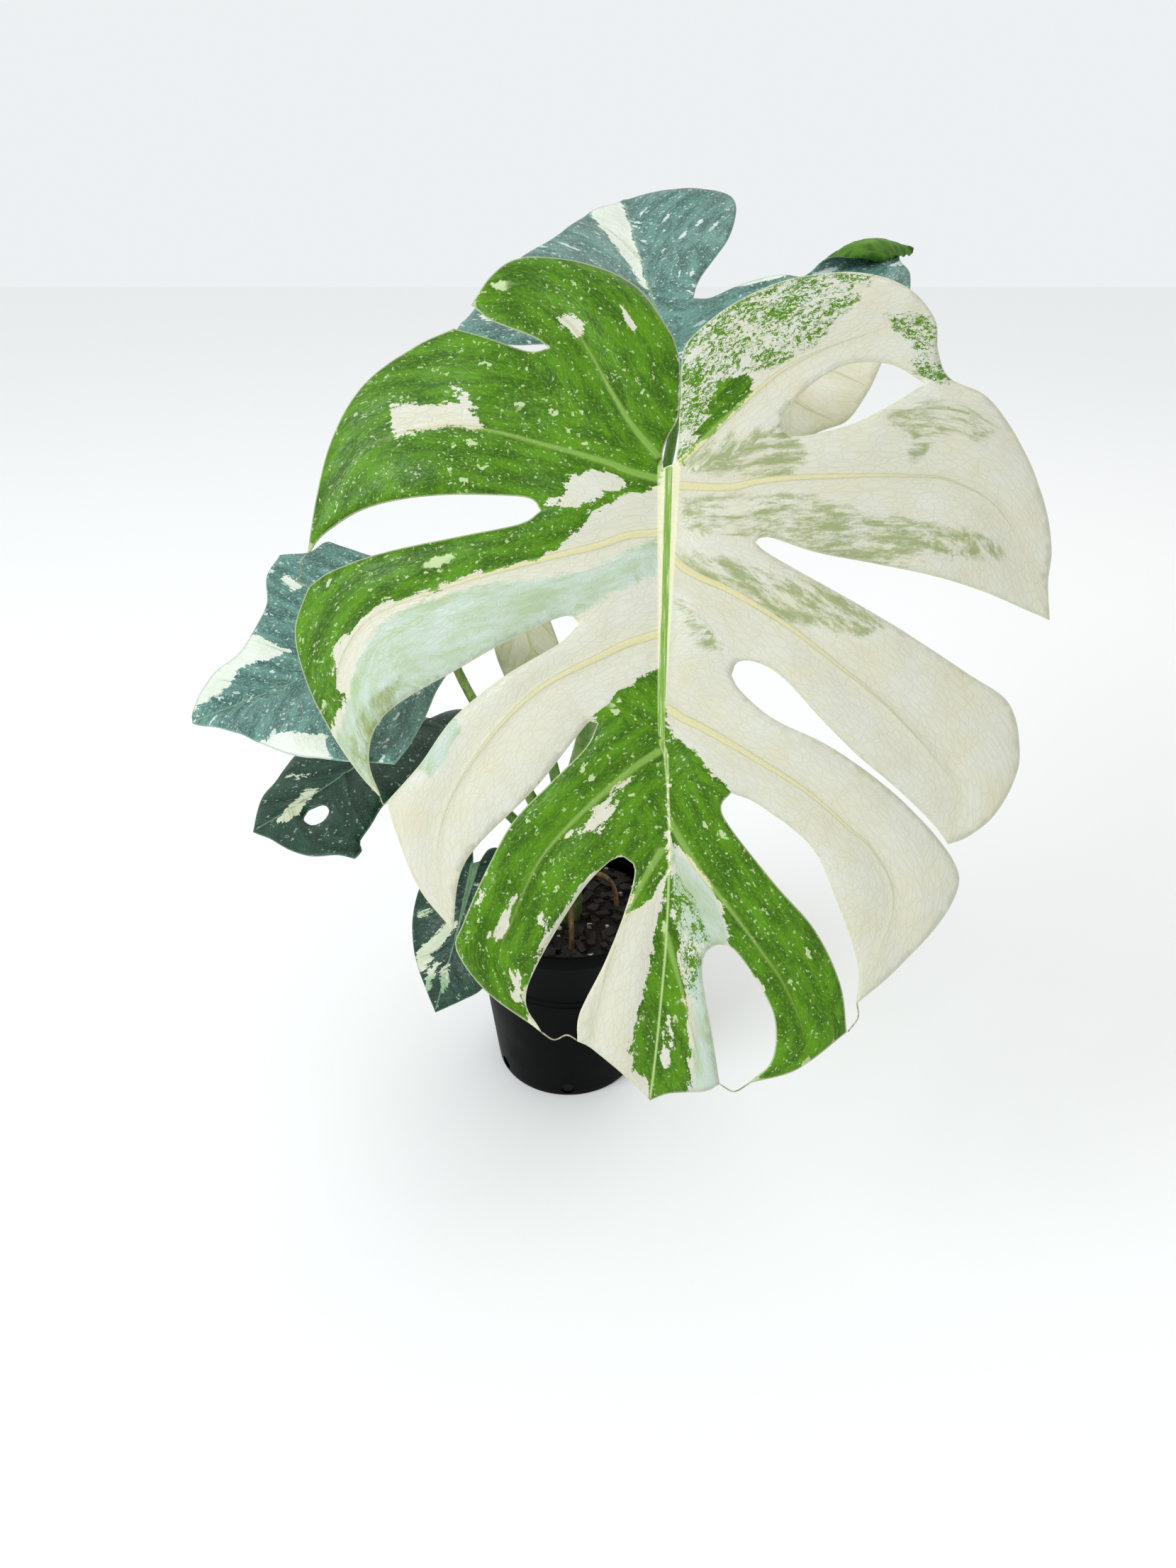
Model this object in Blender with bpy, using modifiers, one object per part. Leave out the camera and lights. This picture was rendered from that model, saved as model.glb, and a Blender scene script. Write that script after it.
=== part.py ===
# Potted variegated monstera: seven slotted leaves on their stalks, one short stem, its aerial roots, the
# soil and a moulded nursery pot. Metres, +Z up, origin on the table under the middle of the pot, viewer's
# side at -Y.
import math

import bpy
from mathutils import Vector
from mathutils.geometry import delaunay_2d_cdt

GAP = 0.0003  # clearance between pieces that touch
MM = 0.001

POT_HEIGHT = 0.170
POT_RIM_RADIUS = 0.0825  # outside of the rim band
POT_BASE_RADIUS = 0.0620
POT_WALL = 0.0016
POT_FLOOR = 0.0022
RIM_BAND_HEIGHT = 0.012
RIM_BAND_DEPTH = 0.0026  # how far the band stands out from the wall
RIM_INSIDE_STEP = 0.4 * RIM_BAND_DEPTH  # how far the inside opens behind the band
RIM_BAND_SLOPE = 0.3 * RIM_BAND_DEPTH  # how far the band narrows to its foot
POT_CHAMFER = 0.0008
POT_STEPS = 48
DRAIN_HOLES = 6
DRAIN_HOLE_RADIUS = 0.006
DRAIN_HOLE_RISE = 1.15  # height of a hole's middle above the floor, in its radii
DRAIN_CUTTER_LENGTH = 0.012

SOIL_BELOW_RIM = 0.020
SOIL_STEPS = 36
SOIL_CLEARANCE = 0.0007  # between the soil's side and the pot's wall

STALK_BASE_RADIUS = 0.0066
STALK_PITCH = STALK_BASE_RADIUS / 6.6  # thicker stalk bases stand further apart on a longer stem
STALK_SLIMMING = 2.2  # how soon a stalk narrows above its base
STALK_POINTS = 14
STALK_END_RUN = 0.006  # last straight run, square to the blade
STALK_START_DEPTH = 0.4  # where a stalk starts inside the stem, as a share of the stem's radius
STALK_LEAN = 0.35  # how far a stalk leans out as it leaves the stem, as a slope
SLIM_STALK_END = 0.0042  # end radius of the stalk whose base is a full STALK_BASE_RADIUS
SLIM_BASE_SHARE = 0.6  # share of the base radius that doesn't shrink with a slimmer end
END_OUT, END_UP = 0.75, 0.65  # direction in which a stalk comes up to its blade

STEM_RADIUS = 0.0125
STEM_ABOVE_SOIL = 130 * STALK_PITCH
STEM_PLANTED = 0.050
STEM_STEPS = 24
STEM_TOP_SHARE = 0.7  # radius of the flat top and height of the slope round it, as shares of the radius
STEM_TOP_SLOPE = 0.3

ROOT_POINTS = 9
ROOT_RADIUS = 0.0021
ROOT_START_DEPTH = 0.5
ROOT_REACH = 0.7  # how far a root arches out, and how high above its landing it turns down, as shares
ROOT_FALL = 0.5

BLADE_THICKNESS = 0.0010
FOLD_ROUNDING = 4.0  # mm, radius of the crease along the midrib
ATTACH_INSET = 7.0  # mm from the notch of the leaf's base to the stalk
MIDRIB_SPACING = 0.8  # in cells: the net's points along the midrib, and their distance from the rest
NET_CLEARANCE = 0.5
MIDRIB_EDGE_GAP = 2.0  # mm from the midrib's last point to the edge
SAME_POINT = 0.00001

SOIL_TOP = POT_HEIGHT - SOIL_BELOW_RIM
SMALL_LEAF_REACH = POT_RIM_RADIUS - 0.0115  # the small leaf hangs over the rim
POT_TAPER = (POT_RIM_RADIUS - RIM_BAND_DEPTH - POT_BASE_RADIUS) / POT_HEIGHT

# Each leaf: the stalk's end (x, y, height above the soil), how far the tip hangs below the horizontal, its
# heading (0 towards -Y, positive towards +X), the shape of the blade, and its edge in millimetres: x to the
# right, y towards the base, origin at the notch. An edge is a list of smooth stretches meeting at corners.
# A stalk leaves the stem at height times STALK_PITCH above the soil.
LEAVES = {
    "front": dict(
        at=(0.060, -0.167, 0.431),
        hang=58.2,
        heading=-3.0,
        fold=(0.12, 0.12),
        across=0.00122,
        base=0.001,
        tip=0.0003,
        cell=24.0,
        step=15.0,
        stalk=dict(height=112, angle=292.0, lift=0.42, back=0.10, end_radius=0.0042),
        edge=[
            [(-3, -2), (-1, 14), (4, 47), (-3, 74), (-21, 97), (-51, 110), (-82, 113), (-98, 103),
             (-108, 86)],
            [(-108, 86), (-96, 76), (-74, 67), (-65, 61)],
            [(-65, 61), (-76, 59), (-99, 67), (-117, 73)],
            [(-117, 73), (-140, 64), (-167, 45), (-185, 17), (-194, -14), (-199, -46)],
            [(-199, -46), (-187, -34), (-163, -23), (-127, -18), (-88, -18), (-72, -20), (-67, -26)],
            [(-67, -26), (-78, -33), (-114, -40), (-156, -48), (-184, -56), (-198, -64)],
            [(-198, -64), (-206, -88), (-199, -116), (-183, -144), (-166, -167), (-153, -180)],
            [(-153, -180), (-160, -160), (-155, -141), (-140, -127), (-108, -109), (-75, -91),
             (-52, -81), (-45, -85)],
            [(-45, -85), (-56, -96), (-85, -114), (-112, -136), (-130, -161), (-149, -182)],
            [(-149, -182), (-144, -198), (-131, -228), (-111, -252)],
            [(-111, -252), (-108, -224), (-98, -205), (-67, -173), (-47, -147), (-38, -136), (-34, -137)],
            [(-34, -137), (-40, -150), (-58, -169), (-79, -192), (-95, -223), (-105, -247)],
            [(-105, -247), (-109, -262), (-93, -284), (-61, -307)],
            [(-61, -307), (-70, -290), (-63, -267), (-41, -228), (-25, -210), (-18, -208)],
            [(-18, -208), (-12, -215), (-17, -238), (-27, -266), (-40, -295), (-41, -311)],
            [(-41, -311), (-33, -315), (-17, -328), (0, -345)],
            [(0, -345), (11, -340), (30, -338), (38, -333)],
            [(38, -333), (33, -306), (26, -271), (28, -258), (34, -254)],
            [(34, -254), (42, -256), (55, -273), (66, -294), (66, -318), (54, -332)],
            [(54, -332), (80, -323), (106, -301)],
            [(106, -301), (101, -274), (86, -245), (63, -220), (38, -190), (33, -179), (38, -172)],
            [(38, -172), (53, -178), (81, -199), (96, -227), (110, -262), (111, -285)],
            [(111, -285), (131, -267), (155, -239), (164, -219), (161, -207), (152, -195), (139, -182),
             (124, -169),
             (104, -155), (85, -144), (58, -132), (41, -118), (36, -110)],
            [(36, -110), (39, -103), (49, -103), (63, -111), (84, -132), (105, -151), (121, -163),
             (134, -173.5),
             (149, -187), (157, -196.5)],
            [(157, -196.5), (168, -192), (182, -180), (192, -162), (195, -145), (187, -120),
             (163, -105), (121, -82),
             (87, -64), (54, -47), (46, -41)],
            [(46, -41), (52, -38), (78, -45), (111, -50), (162, -59), (210, -73)],
            [(210, -73), (208, -53), (209, -34), (203, -9), (190, 17), (169, 42), (147, 51), (141, 66),
             (139, 84),
             (121, 101), (93, 107), (58, 100), (31, 86), (13, 71), (6, 55), (6, 30), (5, 12), (3, -2)],
        ],
        holes=[[
            [(58, 20), (60, 29), (76, 45), (94, 55), (115, 56), (134, 47)],
            [(134, 47), (117, 35), (96, 23), (73, 16), (62, 16), (58, 20)],
        ]],
    ),
    "back": dict(
        at=(0.080, 0.036, 0.416),
        hang=-20.9,
        heading=-172.3,
        fold=(0.32, 0.32),
        across=0.0009,
        base=0.0008,
        tip=0.0,
        cell=24.0,
        step=16.0,
        stalk=dict(height=92, angle=40.0, lift=0.45, back=0.10, end_radius=0.0036),
        edge=[
            [(-4, -2), (-12, 22), (-34, 38), (-66, 38), (-100, 22), (-132, -4), (-158, -34), (-174, -66),
             (-183, -98), (-177, -121), (-188, -145)],
            [(-188, -145), (-164, -152), (-129, -136), (-92, -114), (-63, -110), (-40, -104), (-28, -109)],
            [(-28, -109), (-37, -131), (-67, -177), (-81, -222), (-70, -246), (-36, -263), (0, -270)],
            [(0, -270), (33, -232), (59, -193), (94, -145), (122, -93), (144, -52), (152, -30)],
            [(152, -30), (110, -31), (74, -36), (58, -31)],
            [(58, -31), (74, -23), (110, -14), (153, -6)],
            [(153, -6), (150, 20), (136, 44), (106, 68), (70, 72), (38, 56), (14, 30), (4, -2)],
        ],
        holes=[],
    ),
    "left": dict(
        at=(-0.069, -0.082, 0.302),
        hang=10.7,
        heading=-66.6,
        fold=(0.35, 0.0),
        across=0.0002,
        base=0.0002,
        tip=0.0002,
        cell=22.0,
        step=14.0,
        stalk=dict(height=60, angle=205.0, lift=0.45, back=0.08, end_radius=0.0030),
        edge=[
            [(-3, -2), (-10, 10), (-26, 14), (-46, 6), (-64, -10), (-84, -26), (-104, -42), (-112, -50),
             (-108, -64),
             (-115, -82)],
            [(-115, -82), (-100, -96), (-73, -104), (-55, -120), (-41, -135), (-34, -153), (-13, -171),
             (-4, -174)],
            [(-4, -174), (23, -154), (51, -140), (79, -125), (103, -101), (125, -78)],
            [(125, -78), (112, -64), (92, -49), (72, -35), (52, -18), (40, 0), (28, 14), (12, 14), (3, -2)],
        ],
        holes=[],
    ),
    "lower_left": dict(
        at=(-0.101, -0.026, 0.203),
        hang=15.7,
        heading=-47.5,
        fold=(0.08, 0.08),
        across=0.001,
        base=0.0006,
        tip=0.0004,
        cell=20.0,
        step=13.0,
        stalk=dict(height=32, angle=178.0, lift=0.40, back=0.08, end_radius=0.0028),
        edge=[
            [(-3, -2), (-10, 14), (-24, 24), (-42, 20), (-56, 0), (-62, -30), (-60, -60), (-53, -85),
             (-44, -109),
             (-37, -127), (-18, -146)],
            [(-18, -146), (0, -142), (20, -140), (40, -134), (57, -122), (70, -117)],
            [(70, -117), (69, -110), (61, -105), (55, -90), (49, -73), (52, -52), (56, -30), (54, -5),
             (42, 16),
             (26, 24), (10, 14), (3, -2)],
        ],
        holes=[[
            [(2, -110), (8, -101), (18, -102), (22, -110), (17, -117), (6, -117), (2, -110)],
        ]],
    ),
    "small": dict(
        at=(-SMALL_LEAF_REACH, -0.025, 0.072),
        hang=48.4,
        heading=-22.6,
        fold=(0.10, 0.10),
        across=0.002,
        base=0.001,
        tip=0.0004,
        cell=18.0,
        step=12.0,
        stalk=dict(height=18, angle=200.0, lift=0.50, back=0.10, end_radius=0.0022),
        edge=[
            [(-2, -2), (-8, 12), (-22, 14), (-35, -4), (-41, -30), (-41, -53), (-36, -71), (-26, -91),
             (-2, -122)],
            [(-2, -122), (18, -107), (32, -94), (38, -70), (39, -42), (33, -12), (20, 12), (8, 12),
             (2, -2)],
        ],
        holes=[],
    ),
    "middle": dict(
        at=(-0.032, -0.034, 0.303),
        hang=42.6,
        heading=22.4,
        fold=(0.10, 0.10),
        across=0.001,
        base=0.001,
        tip=0.001,
        cell=18.0,
        step=12.0,
        stalk=dict(height=74, angle=265.0, lift=0.50, back=0.06, end_radius=0.0026),
        edge=[
            [(-2, -2), (-8, 10), (-18, 6), (-23, -14), (-25, -45), (-20, -70), (-9, -88), (0, -96)],
            [(0, -96), (10, -86), (19, -68), (20, -45), (17, -14), (13, 6), (6, 10), (2, -2)],
        ],
        holes=[],
    ),
    "right_back": dict(
        at=(0.148, -0.006, 0.471),
        hang=34.9,
        heading=-11.2,
        fold=(0.10, 0.10),
        across=0.001,
        base=0.001,
        tip=0.001,
        cell=20.0,
        step=14.0,
        stalk=dict(height=78, angle=335.0, lift=0.45, back=0.04, end_radius=0.0030),
        edge=[
            [(-2, -2), (-9, 12), (-26, 16), (-44, 4), (-52, -18), (-50, -44), (-38, -66), (-20, -80),
             (4, -90)],
            [(4, -90), (22, -78), (37, -70), (47, -50), (53, -31), (59, -7), (54, 14), (36, 26),
             (12, 18), (2, -2)],
        ],
        holes=[],
    ),
}

# Aerial roots: height above the soil where each leaves the stem, its compass angle, how far out it lands.
ROOTS = {
    "front": dict(height=0.050, angle=275.0, landing=0.048),
    "left": dict(height=0.034, angle=150.0, landing=0.036),
    "right": dict(height=0.042, angle=10.0, landing=0.042),
}


def smoothed(stretch, step):
    """Points along a smooth curve through a stretch's points, its last one left out."""
    points = [Vector(p) for p in stretch]
    ends = [2 * points[0] - points[1]] + points + [2 * points[-1] - points[-2]]
    found = []
    for i in range(1, len(points)):
        p0, p1, p2, p3 = ends[i - 1 : i + 3]
        steps = max(1, round((p2 - p1).length / step))
        for k in range(steps):
            t = k / steps
            bend = (2 * p0 - 5 * p1 + 4 * p2 - p3) * t * t + (3 * (p1 - p2) + p3 - p0) * t**3
            found.append(p1 + 0.5 * ((p2 - p0) * t + bend))
    return found


def ring(stretches, step):
    return [point for stretch in stretches for point in smoothed(stretch, step)]


def inside(point, loop):
    """Whether a point lies within a closed loop."""
    x, y = point
    odd = False
    for a, b in zip(loop, loop[1:] + loop[:1]):
        if (a.y > y) != (b.y > y) and x < a.x + (y - a.y) * (b.x - a.x) / (b.y - a.y):
            odd = not odd
    return odd


def clear_of(point, loops, distance):
    return all((point - other).length > distance for loop in loops for other in loop)


def blade_axes(leaf):
    """The blade's own axes: right, towards the base, and out of its upper face."""
    hang = math.radians(leaf["hang"])
    heading = math.radians(leaf["heading"])
    level = math.cos(hang)
    base = Vector((-math.sin(heading) * level, math.cos(heading) * level, math.sin(hang)))
    right = Vector((math.cos(heading), math.sin(heading), 0))
    return right, base, right.cross(base)


def relief(leaf, x, y):
    """Height of the upper face in millimetres: a valley along the midrib, edges and ends that droop."""
    left_fold, right_fold = leaf["fold"]
    fold = left_fold if x < 0 else right_fold
    valley = fold * (math.hypot(x, FOLD_ROUNDING) - FOLD_ROUNDING)
    end = leaf["base"] if y > 0 else leaf["tip"]
    return valley - leaf["across"] * x * x - end * y * y


def stalk_end(leaf):
    """Where the blade's origin is: the soil carries the plant, so it rises with the soil."""
    x, y, height = leaf["at"]
    return Vector((x, y, SOIL_TOP + height))


def on_blade(leaf, x, y):
    right, base, out = blade_axes(leaf)
    return stalk_end(leaf) + MM * (x * right + y * base + relief(leaf, x, y) * out)


def blade_net(leaf):
    """The blade laid flat, in millimetres, as points and triangles."""
    cell = leaf["cell"]
    edge = ring(leaf["edge"], leaf["step"])
    holes = [ring(hole, leaf["step"]) for hole in leaf["holes"]]
    points = []
    joins = []
    for loop in [edge] + holes:
        first = len(points)
        points += loop
        joins += [(first + i, first + (i + 1) % len(loop)) for i in range(len(loop))]
    midrib = [Vector((0, -ATTACH_INSET))]
    while inside(midrib[-1], edge):
        midrib.append(midrib[-1] - Vector((0, MIDRIB_SPACING * cell)))
    points += [p for p in midrib[:-1] if clear_of(p, [edge], MIDRIB_EDGE_GAP)]
    columns, rows = (
        range(math.floor(min(p[i] for p in edge) / cell), math.ceil(max(p[i] for p in edge) / cell))
        for i in (0, 1)
    )
    for row in rows:
        for column in columns:
            point = Vector(((column + 0.5 * (row % 2)) * cell, row * cell))
            if inside(point, edge) and not any(inside(point, hole) for hole in holes):
                if clear_of(point, [edge, midrib] + holes, NET_CLEARANCE * cell):
                    points.append(point)
    corners, _, triangles, *_ = delaunay_2d_cdt(points, joins, [], 1, 1e-4)
    kept = []
    for triangle in triangles:
        middle = sum((corners[i] for i in triangle), Vector((0, 0))) / 3
        if inside(middle, edge) and not any(inside(middle, hole) for hole in holes):
            kept.append(tuple(triangle))
    return corners, kept


def material(name, colour, roughness):
    made = bpy.data.materials.new(name)
    made.use_nodes = True
    shader = made.node_tree.nodes["Principled BSDF"]
    shader.inputs["Base Color"].default_value = (*colour, 1)
    shader.inputs["Roughness"].default_value = roughness
    shader.inputs["Metallic"].default_value = 0.0
    return made


def add_object(name, data, collection, finish):
    piece = bpy.data.objects.new(name, data)
    collection.objects.link(piece)
    if finish:
        piece.data.materials.append(finish)
    else:
        piece.hide_render = True
        piece.display_type = "WIRE"
    return piece


def add_blade(name, leaf, collection, finish):
    corners, triangles = blade_net(leaf)
    mesh = bpy.data.meshes.new(name)
    mesh.from_pydata([on_blade(leaf, p.x, p.y) for p in corners], [], triangles)
    mesh.shade_smooth()
    piece = add_object(name, mesh, collection, finish)
    wall = piece.modifiers.new("thickness", "SOLIDIFY")
    wall.thickness = BLADE_THICKNESS
    wall.offset = -1
    return piece


def add_turned(name, profile, steps, collection, finish):
    """A profile of (radius, height) turned round the vertical axis."""
    mesh = bpy.data.meshes.new(name)
    mesh.from_pydata([(r, 0, z) for r, z in profile], [(i, i + 1) for i in range(len(profile) - 1)], [])
    piece = add_object(name, mesh, collection, finish)
    screw = piece.modifiers.new("turn", "SCREW")
    screw.steps = steps
    screw.render_steps = steps
    screw.use_merge_vertices = True
    screw.merge_threshold = SAME_POINT
    screw.use_smooth_shade = True
    return piece


def add_tube(name, points, radii, collection, finish):
    """A round tube through the points, closed at both ends."""
    curve = bpy.data.curves.new(name, "CURVE")
    curve.dimensions = "3D"
    curve.bevel_depth = 1.0
    curve.bevel_resolution = 2
    curve.use_fill_caps = True
    spline = curve.splines.new("POLY")
    spline.points.add(len(points) - 1)
    for spot, place, radius in zip(spline.points, points, radii):
        spot.co = (*place, 1)
        spot.radius = radius
    return add_object(name, curve, collection, finish)


def cut_to_stem(piece, cutter, collection, finish):
    """Makes the tube a mesh and hollows its end to the stem, with a clearance."""
    graph = bpy.context.evaluated_depsgraph_get()
    mesh = bpy.data.meshes.new_from_object(piece.evaluated_get(graph))
    name = piece.name
    bpy.data.objects.remove(piece)
    solid = add_object(name, mesh, collection, None)
    solid.hide_render = False
    solid.display_type = "TEXTURED"
    mesh.materials.clear()
    mesh.materials.append(finish)
    weld = solid.modifiers.new("caps", "WELD")
    weld.merge_threshold = SAME_POINT
    cut = solid.modifiers.new("saddle", "BOOLEAN")
    cut.operation = "DIFFERENCE"
    cut.object = cutter
    mesh.shade_smooth()
    return solid


def arc_points(start, first_handle, last_handle, end, count):
    """Points along a cubic Bezier curve."""
    found = []
    for i in range(count):
        t = i / (count - 1)
        s = 1 - t
        found.append(s**3 * start + 3 * s * s * t * first_handle + 3 * s * t * t * last_handle + t**3 * end)
    return found


def stem_profile(clearance):
    """The stem's side from its blunt top down, or with a clearance the outline its stalks are hollowed to."""
    top = SOIL_TOP + STEM_ABOVE_SOIL + clearance
    bottom = SOIL_TOP - STEM_PLANTED - clearance
    radius = STEM_RADIUS + clearance
    shoulder = top - STEM_TOP_SLOPE * STEM_RADIUS
    return [(0, top), (STEM_TOP_SHARE * radius, top), (radius, shoulder), (radius, bottom), (0, bottom)]


def add_stalk(leaf_name, leaf, collection, finish, cutter):
    """A leaf's stalk: from inside the stem's outline up to the underside of its blade."""
    spec = leaf["stalk"]
    _, _, out = blade_axes(leaf)
    angle = math.radians(spec["angle"])
    side = Vector((math.cos(angle), math.sin(angle), 0))
    up = Vector((0, 0, 1))
    start = side * (STALK_START_DEPTH * STEM_RADIUS) + up * (SOIL_TOP + spec["height"] * STALK_PITCH)
    end = on_blade(leaf, 0, -ATTACH_INSET) - out * (BLADE_THICKNESS + GAP)
    turn = end - out * STALK_END_RUN
    reach = (turn - start).length
    first_handle = start + (side * STALK_LEAN + up).normalized() * reach * spec["lift"]
    last_handle = turn - (out * END_OUT + up * END_UP).normalized() * reach * spec["back"] * 2
    points = arc_points(start, first_handle, last_handle, turn, STALK_POINTS) + [end]
    narrow = spec["end_radius"]
    wide = STALK_BASE_RADIUS * (SLIM_BASE_SHARE + (1 - SLIM_BASE_SHARE) * narrow / SLIM_STALK_END)
    radii = []
    for i in range(len(points)):
        share = i / (len(points) - 1)
        radii.append(narrow + (wide - narrow) * (1 - share) ** STALK_SLIMMING)
    tube = add_tube("stalk_" + leaf_name, points, radii, collection, finish)
    return cut_to_stem(tube, cutter, collection, finish)


def add_root(root_name, root, collection, finish, cutter):
    """An aerial root: out of the stem, over and down to the soil."""
    angle = math.radians(root["angle"])
    side = Vector((math.cos(angle), math.sin(angle), 0))
    up = Vector((0, 0, 1))
    start = side * (ROOT_START_DEPTH * STEM_RADIUS) + up * (SOIL_TOP + root["height"])
    end = side * root["landing"] + up * (SOIL_TOP + GAP)
    turn = end + up * ROOT_RADIUS * 2
    over = start + side * root["landing"] * ROOT_REACH
    above = turn + up * root["height"] * ROOT_FALL
    points = arc_points(start, over, above, turn, ROOT_POINTS)
    radii = [ROOT_RADIUS] * (ROOT_POINTS + 1)
    tube = add_tube("root_" + root_name, points + [end], radii, collection, finish)
    return cut_to_stem(tube, cutter, collection, finish)


def pot_profile():
    """The pot's wall: inside from the middle of the floor up, over the rim band and down the outside."""
    wall_top = POT_RIM_RADIUS - RIM_BAND_DEPTH
    band_foot = POT_HEIGHT - RIM_BAND_HEIGHT
    mouth = wall_top - POT_WALL + RIM_INSIDE_STEP
    return [
        (0, POT_FLOOR),
        (POT_BASE_RADIUS - POT_WALL, POT_FLOOR),
        (wall_top - POT_WALL - POT_TAPER * RIM_BAND_HEIGHT, band_foot),
        (mouth, band_foot + POT_CHAMFER),
        (mouth, POT_HEIGHT - POT_CHAMFER),
        (mouth + POT_CHAMFER, POT_HEIGHT),
        (POT_RIM_RADIUS - POT_CHAMFER, POT_HEIGHT),
        (POT_RIM_RADIUS, POT_HEIGHT - POT_CHAMFER),
        (POT_RIM_RADIUS - RIM_BAND_SLOPE, band_foot),
        (wall_top - POT_TAPER * (RIM_BAND_HEIGHT + POT_CHAMFER), band_foot - POT_CHAMFER),
        (POT_BASE_RADIUS, 2 * POT_CHAMFER),
        (POT_BASE_RADIUS - 2 * POT_CHAMFER, 0),
        (0, 0),
    ]


def soil_profile():
    """The soil: a planting hole for the stem, the level top, and the side that follows the pot's wall."""
    inner = POT_BASE_RADIUS - POT_WALL - SOIL_CLEARANCE
    top = inner + POT_TAPER * (SOIL_TOP - POT_FLOOR)
    hole_floor = SOIL_TOP - STEM_PLANTED - GAP
    return [
        (0, hole_floor),
        (STEM_RADIUS + GAP, hole_floor),
        (STEM_RADIUS + GAP, SOIL_TOP),
        (top, SOIL_TOP),
        (inner, POT_FLOOR + GAP),
        (0, POT_FLOOR + GAP),
    ]


def add_drain_holes(pot, cutters):
    """Round holes through the foot of the wall."""
    middle = POT_BASE_RADIUS - 0.5 * POT_WALL
    height = POT_FLOOR + DRAIN_HOLE_RISE * DRAIN_HOLE_RADIUS
    for i in range(DRAIN_HOLES):
        angle = 2 * math.pi * (i + 0.5) / DRAIN_HOLES
        bpy.ops.mesh.primitive_cylinder_add(
            vertices=16,
            radius=DRAIN_HOLE_RADIUS,
            depth=DRAIN_CUTTER_LENGTH,
            location=(middle * math.cos(angle), middle * math.sin(angle), height),
            rotation=(0, math.pi / 2, angle),
        )
        cutter = bpy.context.object
        cutter.name = f"drain_cutter_{i + 1}"
        for home in list(cutter.users_collection):
            home.objects.unlink(cutter)
        cutters.objects.link(cutter)
        cutter.hide_render = True
        cutter.display_type = "WIRE"
        cut = pot.modifiers.new(f"drain_{i + 1}", "BOOLEAN")
        cut.operation = "DIFFERENCE"
        cut.object = cutter


def main():
    for leftover in list(bpy.data.objects):
        bpy.data.objects.remove(leftover)
    parts = bpy.data.collections.new("potted_monstera")
    cutters = bpy.data.collections.new("cutters")
    bpy.context.scene.collection.children.link(parts)
    bpy.context.scene.collection.children.link(cutters)
    cutters.hide_render = True

    plastic = material("pot_plastic", (0.03, 0.03, 0.035), 0.45)
    pot = add_turned("pot", pot_profile(), POT_STEPS, parts, plastic)
    add_drain_holes(pot, cutters)
    mix = material("soil_mix", (0.06, 0.04, 0.025), 0.95)
    add_turned("soil", soil_profile(), SOIL_STEPS, parts, mix)
    bark = material("stem_bark", (0.16, 0.17, 0.08), 0.6)
    add_turned("stem", stem_profile(0), STEM_STEPS, parts, bark)
    cutter = add_turned("stem_cutter", stem_profile(GAP), STEM_STEPS, cutters, None)

    stalk_finish = material("stalk_skin", (0.20, 0.32, 0.08), 0.4)
    colours = {
        "front": (0.45, 0.55, 0.25),
        "back": (0.08, 0.18, 0.12),
        "left": (0.08, 0.18, 0.10),
        "lower_left": (0.04, 0.09, 0.05),
        "small": (0.35, 0.45, 0.28),
        "middle": (0.75, 0.72, 0.50),
        "right_back": (0.78, 0.75, 0.60),
    }
    for leaf_name, leaf in LEAVES.items():
        finish = material("leaf_skin_" + leaf_name, colours[leaf_name], 0.4)
        add_blade("leaf_" + leaf_name, leaf, parts, finish)
        add_stalk(leaf_name, leaf, parts, stalk_finish, cutter)
    root_finish = material("root_skin", (0.35, 0.25, 0.14), 0.8)
    for root_name, root in ROOTS.items():
        add_root(root_name, root, parts, root_finish, cutter)


main()
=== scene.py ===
import math
import random

import bpy
import numpy as np
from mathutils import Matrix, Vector, noise
from mathutils.geometry import delaunay_2d_cdt


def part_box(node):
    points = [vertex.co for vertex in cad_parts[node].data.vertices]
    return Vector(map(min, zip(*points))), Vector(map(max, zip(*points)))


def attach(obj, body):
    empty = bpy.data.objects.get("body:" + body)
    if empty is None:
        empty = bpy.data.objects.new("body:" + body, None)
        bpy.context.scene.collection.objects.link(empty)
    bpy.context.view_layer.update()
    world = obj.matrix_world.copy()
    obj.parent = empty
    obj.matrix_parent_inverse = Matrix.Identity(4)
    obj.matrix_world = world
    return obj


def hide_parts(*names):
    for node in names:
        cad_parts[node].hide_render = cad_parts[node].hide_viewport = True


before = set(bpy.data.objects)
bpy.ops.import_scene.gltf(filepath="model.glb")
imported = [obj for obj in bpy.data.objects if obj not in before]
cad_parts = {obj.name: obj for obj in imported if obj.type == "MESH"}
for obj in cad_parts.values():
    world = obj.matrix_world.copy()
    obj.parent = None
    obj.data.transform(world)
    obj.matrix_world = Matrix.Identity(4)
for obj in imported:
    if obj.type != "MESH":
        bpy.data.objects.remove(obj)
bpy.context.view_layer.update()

mm = 0.001
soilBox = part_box("soil")
soilTop = soilBox[1][2]

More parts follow.
